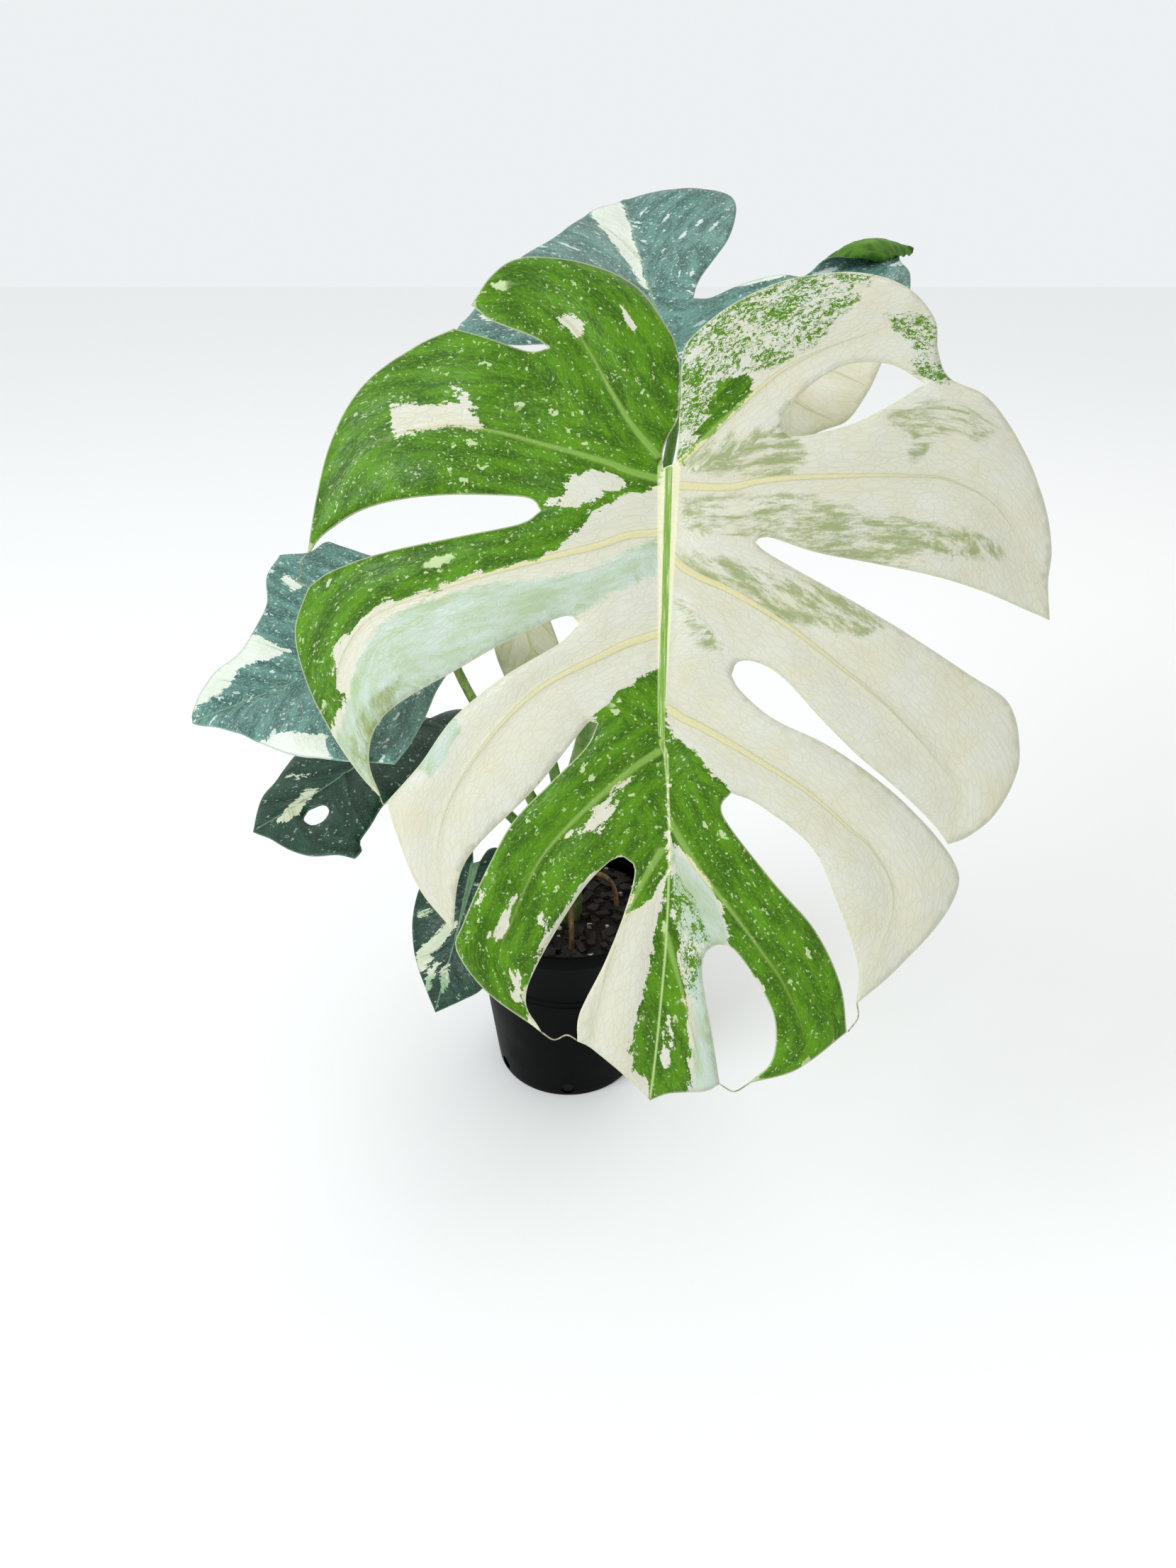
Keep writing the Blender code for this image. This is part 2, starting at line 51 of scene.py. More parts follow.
# Each leaf: where its stalk meets it (height above the soil), how far the tip hangs below level, its heading
# (0 to the front, positive to the right), the bend of the blade, and in millimetres, x right and y to the
# base: its edge and holes as smooth stretches that meet at corners. cell is the spacing of the net that is
# laid over the blade. Its veins and its patches of colour follow below.
leaves = {
    "front": dict(
        at=(0.060, -0.167, 0.431),
        hang=58.2,
        heading=-3.0,
        fold=(0.12, 0.12),
        across=0.00122,
        base=0.001,
        tip=0.0003,
        cell=4.2,
        stalk=dict(height=0.112, angle=292.0, lift=0.42, back=0.10, endRadius=0.0042),
        edge=[
            [(-3, -2), (-3.5, 6), (-1, 14), (4.0, 24), (4.7, 36), (4.7, 50), (2.6, 62), (-3, 74),
             (-21, 97), (-51, 110), (-82, 113), (-98, 103), (-108, 86)],
            [(-108, 86), (-96, 76), (-74, 67), (-65, 61)],
            [(-65, 61), (-76, 59), (-99, 67), (-117, 73)],
            [(-117, 73), (-140, 64), (-167, 45), (-185, 17), (-194, -14), (-199, -46)],
            [(-199, -46), (-187, -34), (-163, -23), (-127, -18), (-88, -18), (-72, -20), (-67, -26)],
            [(-67, -26), (-78, -33), (-114, -40), (-156, -48), (-184, -56), (-198, -64)],
            [(-198, -64), (-206, -88), (-199, -116), (-183, -144), (-166, -167), (-153, -180)],
            [(-153, -180), (-160, -160), (-155, -141), (-140, -127), (-108, -109), (-75, -91),
             (-52, -81), (-45, -85)],
            [(-45, -85), (-56, -96), (-85, -114), (-112, -136), (-130, -161), (-149, -182)],
            [(-149, -182), (-144, -198), (-131, -228), (-111, -252)],
            [(-111, -252), (-108, -224), (-98, -205), (-67, -173), (-47, -147), (-38, -136), (-34, -137)],
            [(-34, -137), (-40, -150), (-58, -169), (-79, -192), (-95, -223), (-105, -247)],
            [(-105, -247), (-109, -262), (-93, -284), (-61, -307)],
            [(-61, -307), (-70, -290), (-63, -267), (-41, -228), (-25, -210), (-18, -208)],
            [(-18, -208), (-12, -215), (-17, -238), (-27, -266), (-40, -295), (-41, -311)],
            [(-41, -311), (-33, -315), (-17, -328), (0, -345)],
            [(0, -345), (11, -340), (30, -338), (38, -333)],
            [(38, -333), (33, -306), (26, -271), (28, -258), (34, -254)],
            [(34, -254), (42, -256), (55, -273), (66, -294), (66, -318), (54, -332)],
            [(54, -332), (80, -323), (106, -301)],
            [(106, -301), (101, -274), (86, -245), (63, -220), (38, -190), (33, -179), (38, -172)],
            [(38, -172), (53, -178), (81, -199), (96, -227), (110, -262), (111, -285)],
            [(111, -285), (131, -267), (155, -239), (164, -219), (161, -207), (152, -195), (139, -182),
             (124, -169),
             (104, -155), (85, -144), (58, -132), (41, -118), (36, -110)],
            [(36, -110), (39, -103), (49, -103), (63, -111), (84, -132), (105, -151), (121, -163),
             (134, -173.5),
             (149, -187), (157, -196.5)],
            [(157, -196.5), (168, -192), (182, -180), (192, -162), (195, -145), (187, -120), (163, -105),
             (121, -82),
             (87, -64), (54, -47), (46, -41)],
            [(46, -41), (52, -38), (78, -45), (111, -50), (162, -59), (210, -73)],
            [(210, -73), (208, -53), (209, -34), (203, -9), (190, 17), (169, 42), (147, 51), (141, 66),
             (139, 84),
             (121, 101), (93, 107), (58, 100), (31, 86), (14, 72), (6.2, 62), (5.1, 50), (5.1, 36),
             (4.6, 24), (4.6, 12),
             (3, -2)],
        ],
        holes=[[
            [(58, 20), (60, 29), (76, 45), (94, 55), (115, 56), (134, 47)],
            [(134, 47), (117, 35), (96, 23), (73, 16), (62, 16), (58, 20)],
        ]],
    ),
    "back": dict(
        at=(0.080, 0.036, 0.416),
        hang=-20.9,
        heading=-172.3,
        fold=(0.32, 0.32),
        across=0.0009,
        base=0.0008,
        tip=0.0,
        cell=4.6,
        stalk=dict(height=0.092, angle=40.0, lift=0.45, back=0.10, endRadius=0.0036),
        edge=[
            [(-4, -2), (-12, 22), (-34, 38), (-66, 38), (-100, 22), (-132, -4), (-158, -34), (-174, -66),
             (-184, -98), (-182, -118), (-191, -136)],
            [(-191, -136), (-176, -157), (-152, -160), (-130, -142), (-113, -110), (-92, -112), (-63, -110),
             (-40, -104), (-28, -109)],
            [(-28, -109), (-37, -131), (-67, -177), (-81, -222), (-70, -246), (-36, -263), (0, -270)],
            [(0, -270), (33, -232), (59, -193), (94, -145), (122, -93), (144, -52), (152, -30)],
            [(152, -30), (110, -31), (74, -36), (58, -31)],
            [(58, -31), (74, -23), (110, -14), (153, -6)],
            [(153, -6), (150, 20), (136, 44), (106, 68), (70, 72), (38, 56), (14, 30), (4, -2)],
        ],
        holes=[],
        rolls=[((-110, -104), (-190, -126), 8.5)],
    ),
    "left": dict(
        at=(-0.069, -0.082, 0.302),
        hang=10.7,
        heading=-66.6,
        fold=(0.35, 0.0),
        across=0.0002,
        base=0.0002,
        tip=0.0002,
        cell=4.4,
        stalk=dict(height=0.060, angle=205.0, lift=0.45, back=0.08, endRadius=0.0030),
        edge=[
            [(-3, -2), (-10, 10), (-26, 14), (-46, 6), (-64, -10), (-84, -26), (-104, -42), (-112, -50),
             (-108, -64),
             (-115, -82)],
            [(-115, -82), (-100, -96), (-73, -104), (-55, -120), (-41, -135), (-34, -153), (-13, -171),
             (-4, -174)],
            [(-4, -174), (23, -154), (51, -140), (79, -125), (103, -101), (125, -78)],
            [(125, -78), (112, -64), (92, -49), (72, -35), (52, -18), (40, 0), (28, 14), (12, 14), (3, -2)],
        ],
        holes=[],
    ),
    "lower_left": dict(
        at=(-0.101, -0.026, 0.203),
        hang=15.7,
        heading=-47.5,
        fold=(0.08, 0.08),
        across=0.001,
        base=0.0006,
        tip=0.0004,
        cell=4.4,
        stalk=dict(height=0.032, angle=178.0, lift=0.40, back=0.08, endRadius=0.0028),
        edge=[
            [(-3, -2), (-10, 14), (-24, 24), (-42, 20), (-56, 0), (-62, -30), (-60, -60), (-53, -85),
             (-44, -109),
             (-37, -127), (-18, -146)],
            [(-18, -146), (0, -142), (20, -140), (40, -134), (57, -122), (70, -117)],
            [(70, -117), (69, -110), (61, -105), (55, -90), (49, -73), (52, -52), (56, -30), (54, -5),
             (42, 16),
             (26, 24), (10, 14), (3, -2)],
        ],
        holes=[[
            [(2, -110), (8, -101), (18, -102), (22, -110), (17, -117), (6, -117), (2, -110)],
        ]],
    ),
    "small": dict(
        at=(-0.071, -0.025, 0.072),
        hang=48.4,
        heading=-22.6,
        fold=(0.10, 0.10),
        across=0.002,
        base=0.001,
        tip=0.0004,
        cell=3.6,
        stalk=dict(height=0.018, angle=200.0, lift=0.50, back=0.10, endRadius=0.0022),
        edge=[
            [(-2, -2), (-8, 12), (-22, 14), (-35, -4), (-41, -30), (-41, -53), (-36, -71), (-26, -91),
             (-2, -122)],
            [(-2, -122), (18, -107), (32, -94), (38, -70), (39, -42), (33, -12), (20, 12), (8, 12),
             (2, -2)],
        ],
        holes=[],
    ),
    "middle": dict(
        at=(-0.032, -0.034, 0.303),
        hang=42.6,
        heading=22.4,
        fold=(0.10, 0.10),
        across=0.001,
        base=0.001,
        tip=0.001,
        cell=3.6,
        stalk=dict(height=0.074, angle=265.0, lift=0.50, back=0.06, endRadius=0.0026),
        edge=[
            [(-2, -2), (-8, 10), (-18, 6), (-23, -14), (-25, -45), (-20, -70), (-9, -88), (0, -96)],
            [(0, -96), (10, -86), (19, -68), (20, -45), (17, -14), (13, 6), (6, 10), (2, -2)],
        ],
        holes=[],
    ),
    "right_back": dict(
        at=(0.148, -0.006, 0.471),
        hang=34.9,
        heading=-11.2,
        fold=(0.10, 0.10),
        across=0.001,
        base=0.001,
        tip=0.001,
        cell=4.0,
        stalk=dict(height=0.078, angle=335.0, lift=0.45, back=0.04, endRadius=0.0030),
        edge=[
            [(-2, -2), (-9, 12), (-26, 16), (-44, 4), (-52, -18), (-50, -44), (-38, -66), (-20, -80),
             (4, -90)],
            [(4, -90), (22, -78), (37, -70), (47, -50), (53, -31), (59, -7), (54, 14), (36, 26),
             (12, 18), (2, -2)],
        ],
        holes=[],
    ),
}

# Veins in the same millimetres: the midrib first, then each side vein from the midrib outwards.
veins = {
    "front": [
        [(0, -2), (0, -70), (0, -140), (3, -155), (6, -200), (6, -250), (4, -290), (2, -320), (0, -343)],
        [(-6, 4), (-20, 20), (-31, 37), (-48, 66), (-59, 78), (-80, 91), (-96, 92)],
        [(-4, -8), (-19, -5), (-33, 0), (-63, 8), (-98, 17), (-126, 19), (-160, 12), (-184, -12),
         (-196, -38)],
        [(-3, -36), (-20, -38), (-37, -44), (-75, -54), (-117, -66), (-159, -82), (-178, -108),
         (-176, -136),
         (-157, -172)],
        [(-3, -89), (-18, -94), (-34, -102), (-66, -120), (-93, -148), (-114, -183), (-120, -215),
         (-113, -244)],
        [(-1, -151), (-14, -160), (-31, -175), (-49, -193), (-65, -214), (-78, -245), (-84, -268),
         (-66, -302)],
        [(2, -204), (-8, -222), (-20, -250), (-28, -280), (-32, -308)],
        [(6, 1), (18, 13), (32, 27), (55, 48), (73, 59), (93, 68), (114, 76), (132, 78)],
        [(3, -11), (19, -12), (33, -12), (46, -9), (60, -7), (88, -5), (122, -3), (150, -4), (180, -20),
         (206, -66)],
        [(3, -48), (9, -54), (20, -60), (34, -66), (62, -82), (90, -102), (119, -124), (148, -152),
         (160, -168),
         (158, -190)],
        [(3, -128), (11, -133), (22, -138), (51, -154), (79, -171), (101, -189), (116, -202), (128, -230),
         (114, -280)],
        [(6, -188), (22, -213), (40, -235), (58, -258), (73, -280), (82, -308), (60, -328)],
        [(6, -250), (14, -276), (22, -304), (30, -334)],
    ],
    "back": [
        [(0, -2), (0, -90), (0, -180), (0, -264)],
        [(0, -140), (-16, -182), (-38, -215), (-62, -238)],
        [(0, -62), (-40, -82), (-90, -98), (-140, -118), (-182, -141)],
        [(0, -10), (-40, -2), (-90, -6), (-140, -34), (-172, -82)],
        [(0, -4), (-22, 16), (-52, 26)],
        [(0, -4), (26, 26), (62, 50)],
        [(0, -10), (50, 8), (100, 22), (140, 22)],
        [(0, -44), (50, -62), (100, -74), (138, -62)],
        [(0, -86), (40, -112), (80, -126), (112, -112)],
        [(0, -128), (30, -162), (66, -180)],
        [(0, -178), (18, -208), (38, -222)],
    ],
    "left": [
        [(0, -2), (0, -80), (-2, -130), (-4, -171)],
        [(0, -8), (-30, -6), (-60, -18), (-86, -36), (-106, -54)],
        [(0, -40), (-30, -54), (-60, -72), (-94, -90)],
        [(0, -82), (-24, -102), (-48, -120)],
        [(-1, -118), (-16, -136), (-30, -152)],
        [(0, -8), (18, -2), (34, -4)],
        [(0, -36), (34, -46), (70, -56), (100, -72)],
        [(0, -72), (32, -90), (66, -104), (98, -102)],
        [(0, -108), (26, -126), (50, -138)],
        [(-2, -140), (12, -152), (22, -154)],
    ],
    "lower_left": [
        [(0, -2), (-1, -60), (-8, -110), (-17, -143)],
        [(0, -8), (-24, 0), (-44, -6)],
        [(0, -38), (-26, -54), (-54, -68)],
        [(-3, -74), (-22, -94), (-40, -106)],
        [(-8, -108), (-20, -120), (-30, -130)],
        [(0, -8), (24, -2), (44, -8)],
        [(0, -38), (26, -48), (48, -54)],
        [(-3, -74), (24, -88), (56, -98)],
        [(-10, -118), (14, -126), (40, -128), (62, -118)],
    ],
    "small": [
        [(0, -2), (0, -60), (-2, -119)],
        [(0, -6), (-18, 0), (-32, -10)],
        [(0, -30), (-18, -42), (-37, -56)],
        [(0, -60), (-14, -76), (-28, -86)],
        [(-1, -88), (-9, -99), (-15, -105)],
        [(0, -6), (18, 0), (30, -10)],
        [(0, -30), (18, -42), (35, -58)],
        [(0, -60), (14, -76), (30, -88)],
        [(-1, -88), (8, -99), (16, -104)],
    ],
    "middle": [
        [(0, -2), (0, -50), (0, -94)],
        [(0, -16), (-10, -22), (-22, -40)],
        [(0, -44), (-9, -54), (-18, -70)],
        [(0, -16), (9, -22), (18, -38)],
        [(0, -44), (9, -54), (17, -68)],
    ],
    "right_back": [
        [(0, -2), (1, -50), (4, -88)],
        [(0, -6), (-20, 2), (-38, 0)],
        [(0, -28), (-22, -38), (-46, -52)],
        [(2, -56), (-12, -68), (-22, -76)],
        [(0, -6), (22, 4), (46, 2)],
        [(0, -28), (22, -36), (48, -48)],
        [(2, -56), (16, -66), (30, -72)],
    ],
}

# Patches of colour in the same millimetres. green is where the blade is green, pale is cut out of it, and
# mint, marble (cream flecked with green) and wash (faint olive) lie over the cream.
patches = {
    "front": dict(
        green=[
            [(-3, 4), (-4, -9), (-11, -15), (-26, -17), (-31, -23), (-42, -28), (-43, -34), (-55, -42),
             (-57, -47),
             (-69, -52), (-91, -57), (-101, -59), (-114, -63), (-128, -69), (-151, -73), (-164, -83),
             (-171, -90),
             (-180, -96), (-182, -106), (-179, -120), (-174, -123), (-175, -130), (-181, -137),
             (-184, -150),
             (-215, -150), (-225, -60), (-210, 40), (-150, 110), (-90, 130), (-30, 120), (4, 100),
             (4.9, 50), (4.9, 40), (4.3, 24), (1, 14),
             (-1, 6)],
            [(-1, -107), (-10, -111), (-20, -117), (-27, -125), (-34, -132), (-45, -150), (-60, -166),
             (-80, -190),
             (-98, -222), (-107, -246), (-116, -264), (-95, -300), (-61, -316), (-68, -300), (-71, -286),
             (-60, -255), (-40, -222), (-20, -208), (-12, -214), (-13, -230), (-17, -240), (-6, -233),
             (0, -225),
             (5, -212), (4, -160), (1, -120)],
            [(2, -136), (8, -143), (16, -150), (26, -160), (36, -169), (42, -178), (52, -190), (70, -210),
             (85, -230), (98, -250), (106, -275), (112, -304), (90, -330), (52, -344), (48, -334),
             (62, -322),
             (67, -300), (58, -276), (44, -258), (41, -254), (40, -250), (36, -236), (30, -222), (20, -210),
             (8, -200), (5, -180)],
            [(5, -205), (4, -229), (0, -245), (-3, -270), (-8, -295), (-10, -305), (-12, -318), (-8, -329),
             (-2, -333), (0, -350), (21, -345), (21, -313), (20, -304), (18, -288), (15, -273), (13, -260),
             (12, -248), (9, -238), (8, -220)],
            [(27, 46), (37, 47), (44, 47), (41, 36), (32, 26), (21, 15), (11, 5), (7, 0), (14, 16),
             (21, 31),
             (24, 44)],
        ],
        pale=[
            [(-54, -9), (-39, -4), (-23, -8), (-24, -14), (-38, -19), (-45, -24), (-56, -23), (-67, -23),
             (-54, -17)],
            [(-152, 28), (-149, 31), (-126, 31), (-111, 32), (-102, 24), (-99, 17), (-118, 19), (-149, 16)],
            [(-59, 80), (-55, 80), (-48, 74), (-47, 68), (-50, 66), (-55, 72), (-60, 73)],
            [(-27, 83), (-23, 79), (-20, 74), (-21, 69), (-26, 76)],
            [(-118, 41), (-108, 36), (-101, 29), (-104, 27), (-114, 34)],
            [(-15, -164), (-20, -168), (-31, -180), (-40, -190), (-49, -197), (-40, -195), (-33, -196),
             (-28, -188), (-24, -180), (-18, -172)],
            [(-76, -230), (-78, -240), (-80, -249), (-86, -256), (-91, -259), (-90, -253), (-85, -245),
             (-80, -235)],
            [(-99, -237), (-94, -229), (-88, -222), (-91, -230), (-96, -238)],
            [(-79, -272), (-74, -272), (-72, -289), (-77, -290)],
            [(-64, -248), (-61, -247), (-60, -240), (-63, -241)],
            [(8, -288), (11, -298), (11, -322), (7, -334), (6, -320), (7, -302)],
        ],
        mint=[
            [(-3, -38), (-25, -48), (-45, -58), (-70, -62), (-100, -66), (-130, -74), (-152, -84),
             (-164, -100),
             (-172, -126), (-180, -150), (-160, -186), (-150, -180), (-158, -150), (-140, -127),
             (-108, -109),
             (-75, -91), (-45, -81), (-25, -68), (-3, -56)],
            [(7, -203), (19, -210), (29, -222), (35, -236), (39, -248), (39, -256), (30, -256), (13, -250),
             (9, -235)],
            [(26, -256), (36, -256), (32, -290), (40, -338), (24, -340), (22, -300), (18, -275)],
            [(-112, -134), (-132, -162), (-124, -168), (-106, -144)],
        ],
        marble=[
            [(3, 58), (10, 70), (20, 82), (40, 92), (60, 102), (85, 108), (110, 105), (100, 95), (88, 80),
             (75, 65), (60, 55), (45, 48), (35, 50), (25, 35), (12, 8), (4, 2), (4.3, 24), (4.9, 50)],
            [(112, 82), (124, 86), (136, 84), (143, 75), (145, 60), (150, 50), (140, 47), (128, 54),
             (126, 67),
             (118, 74)],
            [(8, -213), (17, -226), (25, -241), (29, -250), (26, -255), (23, -272), (23, -288), (15, -279),
             (13, -257), (9, -241)],
        ],
        wash=[
            [(112, 27), (122, 33), (136, 36), (155, 34), (169, 28), (174, 23), (164, 18), (151, 21),
             (137, 14),
             (129, 4), (124, 7), (129, 18), (119, 21)],
            [(30, 15), (50, 18), (60, 22), (66, 12), (72, 4), (62, -4), (45, -6), (28, -8), (12, -4),
             (10, 6)],
            [(8, -20), (40, -16), (75, -17), (100, -22), (125, -26), (150, -30), (178, -34), (180, -42),
             (150, -44), (130, -48), (115, -51), (95, -49), (70, -44), (50, -38), (20, -36), (8, -34)],
            [(8, -48), (27, -50), (48, -54), (63, -57), (77, -62), (92, -68), (106, -76), (113, -82),
             (103, -88),
             (91, -86), (77, -82), (62, -80), (48, -74), (34, -65), (17, -58)],
            [(6, -70), (14, -74), (22, -84), (30, -98), (22, -98), (12, -86)],
            [(-140, -116), (-156, -124), (-168, -140), (-170, -160), (-160, -184), (-150, -178),
             (-156, -152),
             (-148, -136)],
        ],
    ),
    "back": dict(
        green="all",
        pale=[
            [(1, -125), (6, -140), (11, -160), (18, -185), (26, -210), (34, -235), (36, -250), (22, -262),
             (10, -272), (2, -262), (1, -200)],
            [(132, -66), (118, -60), (106, -60), (110, -51), (128, -54)],
            # a pale band by the rolled lobe: painted sky sheen
            [(-58, -114), (-80, -118), (-104, -120), (-98, -111), (-76, -106), (-60, -107)],
        ],
        mint=[],
        marble=[],
        wash=[],
    ),
    "left": dict(
        green="all",
        pale=[
            [(-10, -176), (-36, -159), (-48, -138), (-60, -124), (-40, -110), (-28, -101), (-27, -119),
             (-29, -137), (-17, -149), (-14, -163)],
            [(48, -146), (62, -136), (84, -126), (100, -108), (86, -108), (72, -103), (62, -116),
             (50, -128)],
            [(-96, -84), (-88, -88), (-74, -84), (-80, -78)],
        ],
        mint=[],
        marble=[],
        wash=[],
    ),
    "lower_left": dict(
        green="all",
        pale=[
            [(-9, -136), (-4, -128), (0, -120), (-4, -108), (-9, -91), (-14, -100), (-13, -120)],
            [(-42, -104), (-33, -99), (-21, -85), (-28, -90), (-38, -97)],
        ],
        mint=[],
        marble=[],
        wash=[],
    ),
    "small": dict(
        green="all",
        pale=[
            [(-30, -82), (-24, -72), (-16, -60), (-5, -48), (0, -52), (-9, -66), (-14, -78), (-18, -90),
             (-25, -96)],
            [(-17, -101), (-15, -91), (-9, -83), (-9, -97), (-11, -108), (-14, -114)],
            [(-6, -90), (-1, -82), (5, -95), (0, -106)],
            [(-38, -50), (-28, -45), (-26, -52), (-35, -54)],
        ],
        mint=[
            [(-22, -96), (0, -92), (20, -96), (30, -92), (14, -114), (-2, -126), (-14, -112)],
        ],
        marble=[
            [(-40, -60), (-34, -40), (-22, -30), (-18, -50), (-26, -66)],
        ],
        wash=[],
    ),
    "middle": dict(green=[], pale=[], mint=[], marble=[],
                   wash=[[(-30, -20), (-14, -18), (-12, -60), (-28, -70)]]),
    "right_back": dict(green=[], pale=[], mint=[], marble=[],
                       wash=[[(-30, 12), (-20, 6), (-18, 0), (-28, 4)]]),
}


def colour(code):
    # an sRGB hex colour as the linear colour a shader takes
    channels = [int(code[i:i + 2], 16) / 255 for i in (1, 3, 5)]
    return (*[c / 12.92 if c <= 0.04045 else ((c + 0.055) / 1.055) ** 2.4 for c in channels], 1.0)


def curveThrough(points, step):
    # a smooth curve through the points, the last one left out
    points = np.array(points, float)
    ends = np.vstack([2 * points[0] - points[1], points, 2 * points[-1] - points[-2]])
    found = []
    for i in range(1, len(points)):
        a, b, c, d = ends[i - 1:i + 3]
        steps = max(1, round(float(np.linalg.norm(c - b)) / step))
        for k in range(steps):
            t = k / steps
            bend = (2 * a - 5 * b + 4 * c - d) * t * t + (3 * (b - c) + d - a) * t ** 3
            found.append(b + 0.5 * ((c - a) * t + bend))
    return found


def loopOf(stretches, step):
    # stretches that meet at corners, as one closed loop
    return np.array([p for stretch in stretches for p in curveThrough(stretch, step)])


def within(points, loop):
    # which points a closed loop goes round: a line from each to the right crosses it an odd number of times
    a, b = loop, np.roll(loop, -1, axis=0)
    rise = np.where(a[:, 1] == b[:, 1], 1e-9, b[:, 1] - a[:, 1])
    x, y = points[:, :1], points[:, 1:]
    reached = a[:, 0] + (y - a[:, 1]) * (b[:, 0] - a[:, 0]) / rise
    crossed = ((a[:, 1] > y) != (b[:, 1] > y)) & (x < reached)
    return crossed.sum(axis=1) % 2 == 1


def toLine(points, line):
    # distance to a line, how far along it, and the same distance with a sign for the side
    step = np.diff(line, axis=0)
    length = np.maximum(np.linalg.norm(step, axis=1), 1e-9)
    start = np.cumsum(length) - length
    found = []
    for some in np.array_split(points, 1 + len(points) * len(line) // 1500000):
        away = some[:, None] - line[:-1]
        t = np.clip((away * step).sum(axis=2) / length ** 2, 0, 1)
        gap = away - t[..., None] * step
        distance = np.linalg.norm(gap, axis=2)
        near = distance.argmin(axis=1)
        row = np.arange(len(some))
        side = np.sign(step[near, 0] * gap[row, near, 1] - step[near, 1] * gap[row, near, 0])
        found.append(np.stack([distance[row, near], start[near] + t[row, near] * length[near],
                               side * distance[row, near]]))
    return np.concatenate(found, axis=1)


def reach(points, shapes):
    # how far inside any of the shapes each point is, in mm, negative outside
    if shapes == "all":
        return np.full(len(points), 100.0)
    best = np.full(len(points), -100.0)
    for shape in shapes:
        loop = np.array(shape, float)
        distance = toLine(points, np.vstack([loop, loop[:1]]))[0]
        best = np.maximum(best, np.where(within(points, loop), distance, -distance))
    return best


def spread(points, kept, gap):
    # the points that keep their distance from the ones already kept
    found = list(kept)
    cells = {}
    for p in found:
        cells.setdefault((int(p[0] // gap), int(p[1] // gap)), []).append(p)
    for p in points:
        home = (int(p[0] // gap), int(p[1] // gap))
        around = [(home[0] + i, home[1] + j) for i in (-1, 0, 1) for j in (-1, 0, 1)]
        near = [q for place in around for q in cells.get(place, ())]
        if all(math.hypot(p[0] - q[0], p[1] - q[1]) >= gap for q in near):
            cells.setdefault(home, []).append(p)
            found.append(p)
    return found


def sweep(points, radii, sides):
    # a closed round tube along the points, for the ribs and threads that are part of a blade's own mesh
    points = [Vector(p) for p in points]
    across = (points[1] - points[0]).orthogonal().normalized()
    verts, faces = [], []
    for i, p in enumerate(points):
        ahead = (points[min(i + 1, len(points) - 1)] - points[max(i - 1, 0)]).normalized()
        across = (across - ahead * across.dot(ahead)).normalized()
        other = ahead.cross(across)
        for k in range(sides):
            turn = 2 * math.pi * k / sides
            verts.append(p + (across * math.cos(turn) + other * math.sin(turn)) * radii[i])
    for i in range(len(points) - 1):
        for k in range(sides):
            n = (k + 1) % sides
            faces.append((i * sides + k, i * sides + n, (i + 1) * sides + n, (i + 1) * sides + k))
    faces.append(tuple(reversed(range(sides))))
    faces.append(tuple(range((len(points) - 1) * sides, len(points) * sides)))
    return verts, faces


def bezier(a, b, c, d, count):
    # points from a to d, leaving a towards b and reaching d from c
    found = []
    for i in range(count):
        t = i / (count - 1)
        s = 1 - t
        found.append(s ** 3 * a + 3 * s * s * t * b + 3 * s * t * t * c + t ** 3 * d)
    return found


def addTube(name, points, radii, sides, finish):
    # a path with a round bevel, its radius set at each point, then made a mesh
    bpy.ops.object.select_all(action="DESELECT")
    bpy.ops.curve.primitive_nurbs_path_add(location=(0, 0, 0))
    piece = bpy.context.object
    path = piece.data
    path.splines.clear()
    line = path.splines.new("POLY")
    line.points.add(len(points) - 1)
    for spot, place, radius in zip(line.points, points, radii):
        spot.co = (*place, 1)
        spot.radius = radius
    path.bevel_depth = 1.0
    path.bevel_resolution = sides // 2 - 2
    path.use_fill_caps = True
    bpy.ops.object.convert(target="MESH")
    bpy.ops.object.mode_set(mode="EDIT")
    bpy.ops.mesh.select_all(action="SELECT")
    bpy.ops.mesh.remove_doubles(threshold=0.000001)
    bpy.ops.mesh.normals_make_consistent(inside=False)
    bpy.ops.object.mode_set(mode="OBJECT")
    bpy.ops.object.shade_smooth_by_angle(angle=math.radians(60))
    piece.name = name
    piece.data.materials.clear()
    piece.data.materials.append(finish)
    return piece


def makePiece(name, verts, faces, finishes, which):
    # which gives each face its material
    mesh = bpy.data.meshes.new(name)
    mesh.from_pydata([tuple(v) for v in verts], [], faces)
    for finish in finishes:
        mesh.materials.append(finish)
    mesh.polygons.foreach_set("material_index", which)
    mesh.shade_smooth()
    piece = bpy.data.objects.new(name, mesh)
    bpy.context.scene.collection.objects.link(piece)
    return piece


def onlyThis(piece):
    bpy.ops.object.select_all(action="DESELECT")
    piece.select_set(True)
    bpy.context.view_layer.objects.active = piece


def addNode(tree, kind, links=None, **settings):
    # a node with its settings, as its outputs; links give each input a value or another node's output
    made = tree.nodes.new("ShaderNode" + kind)
    for key, value in settings.items():
        setattr(made, key, value)
    for key, value in (links or {}).items():
        if isinstance(value, bpy.types.NodeSocket):
            tree.links.new(value, made.inputs[key])
        else:
            made.inputs[key].default_value = value
    return made.outputs


eased = dict(interpolation_type="SMOOTHSTEP")  # for Map Range
inColour = dict(data_type="RGBA", clamp_factor=True)  # for Mix


def startMaterial(name, roughness, ior=1.5):
    finish = bpy.data.materials.new(name)
    finish.use_nodes = True
    tree = finish.node_tree
    shader = tree.nodes["Principled BSDF"]
    shader.inputs["Roughness"].default_value = roughness
    shader.inputs["IOR"].default_value = ior
    return finish, tree, shader


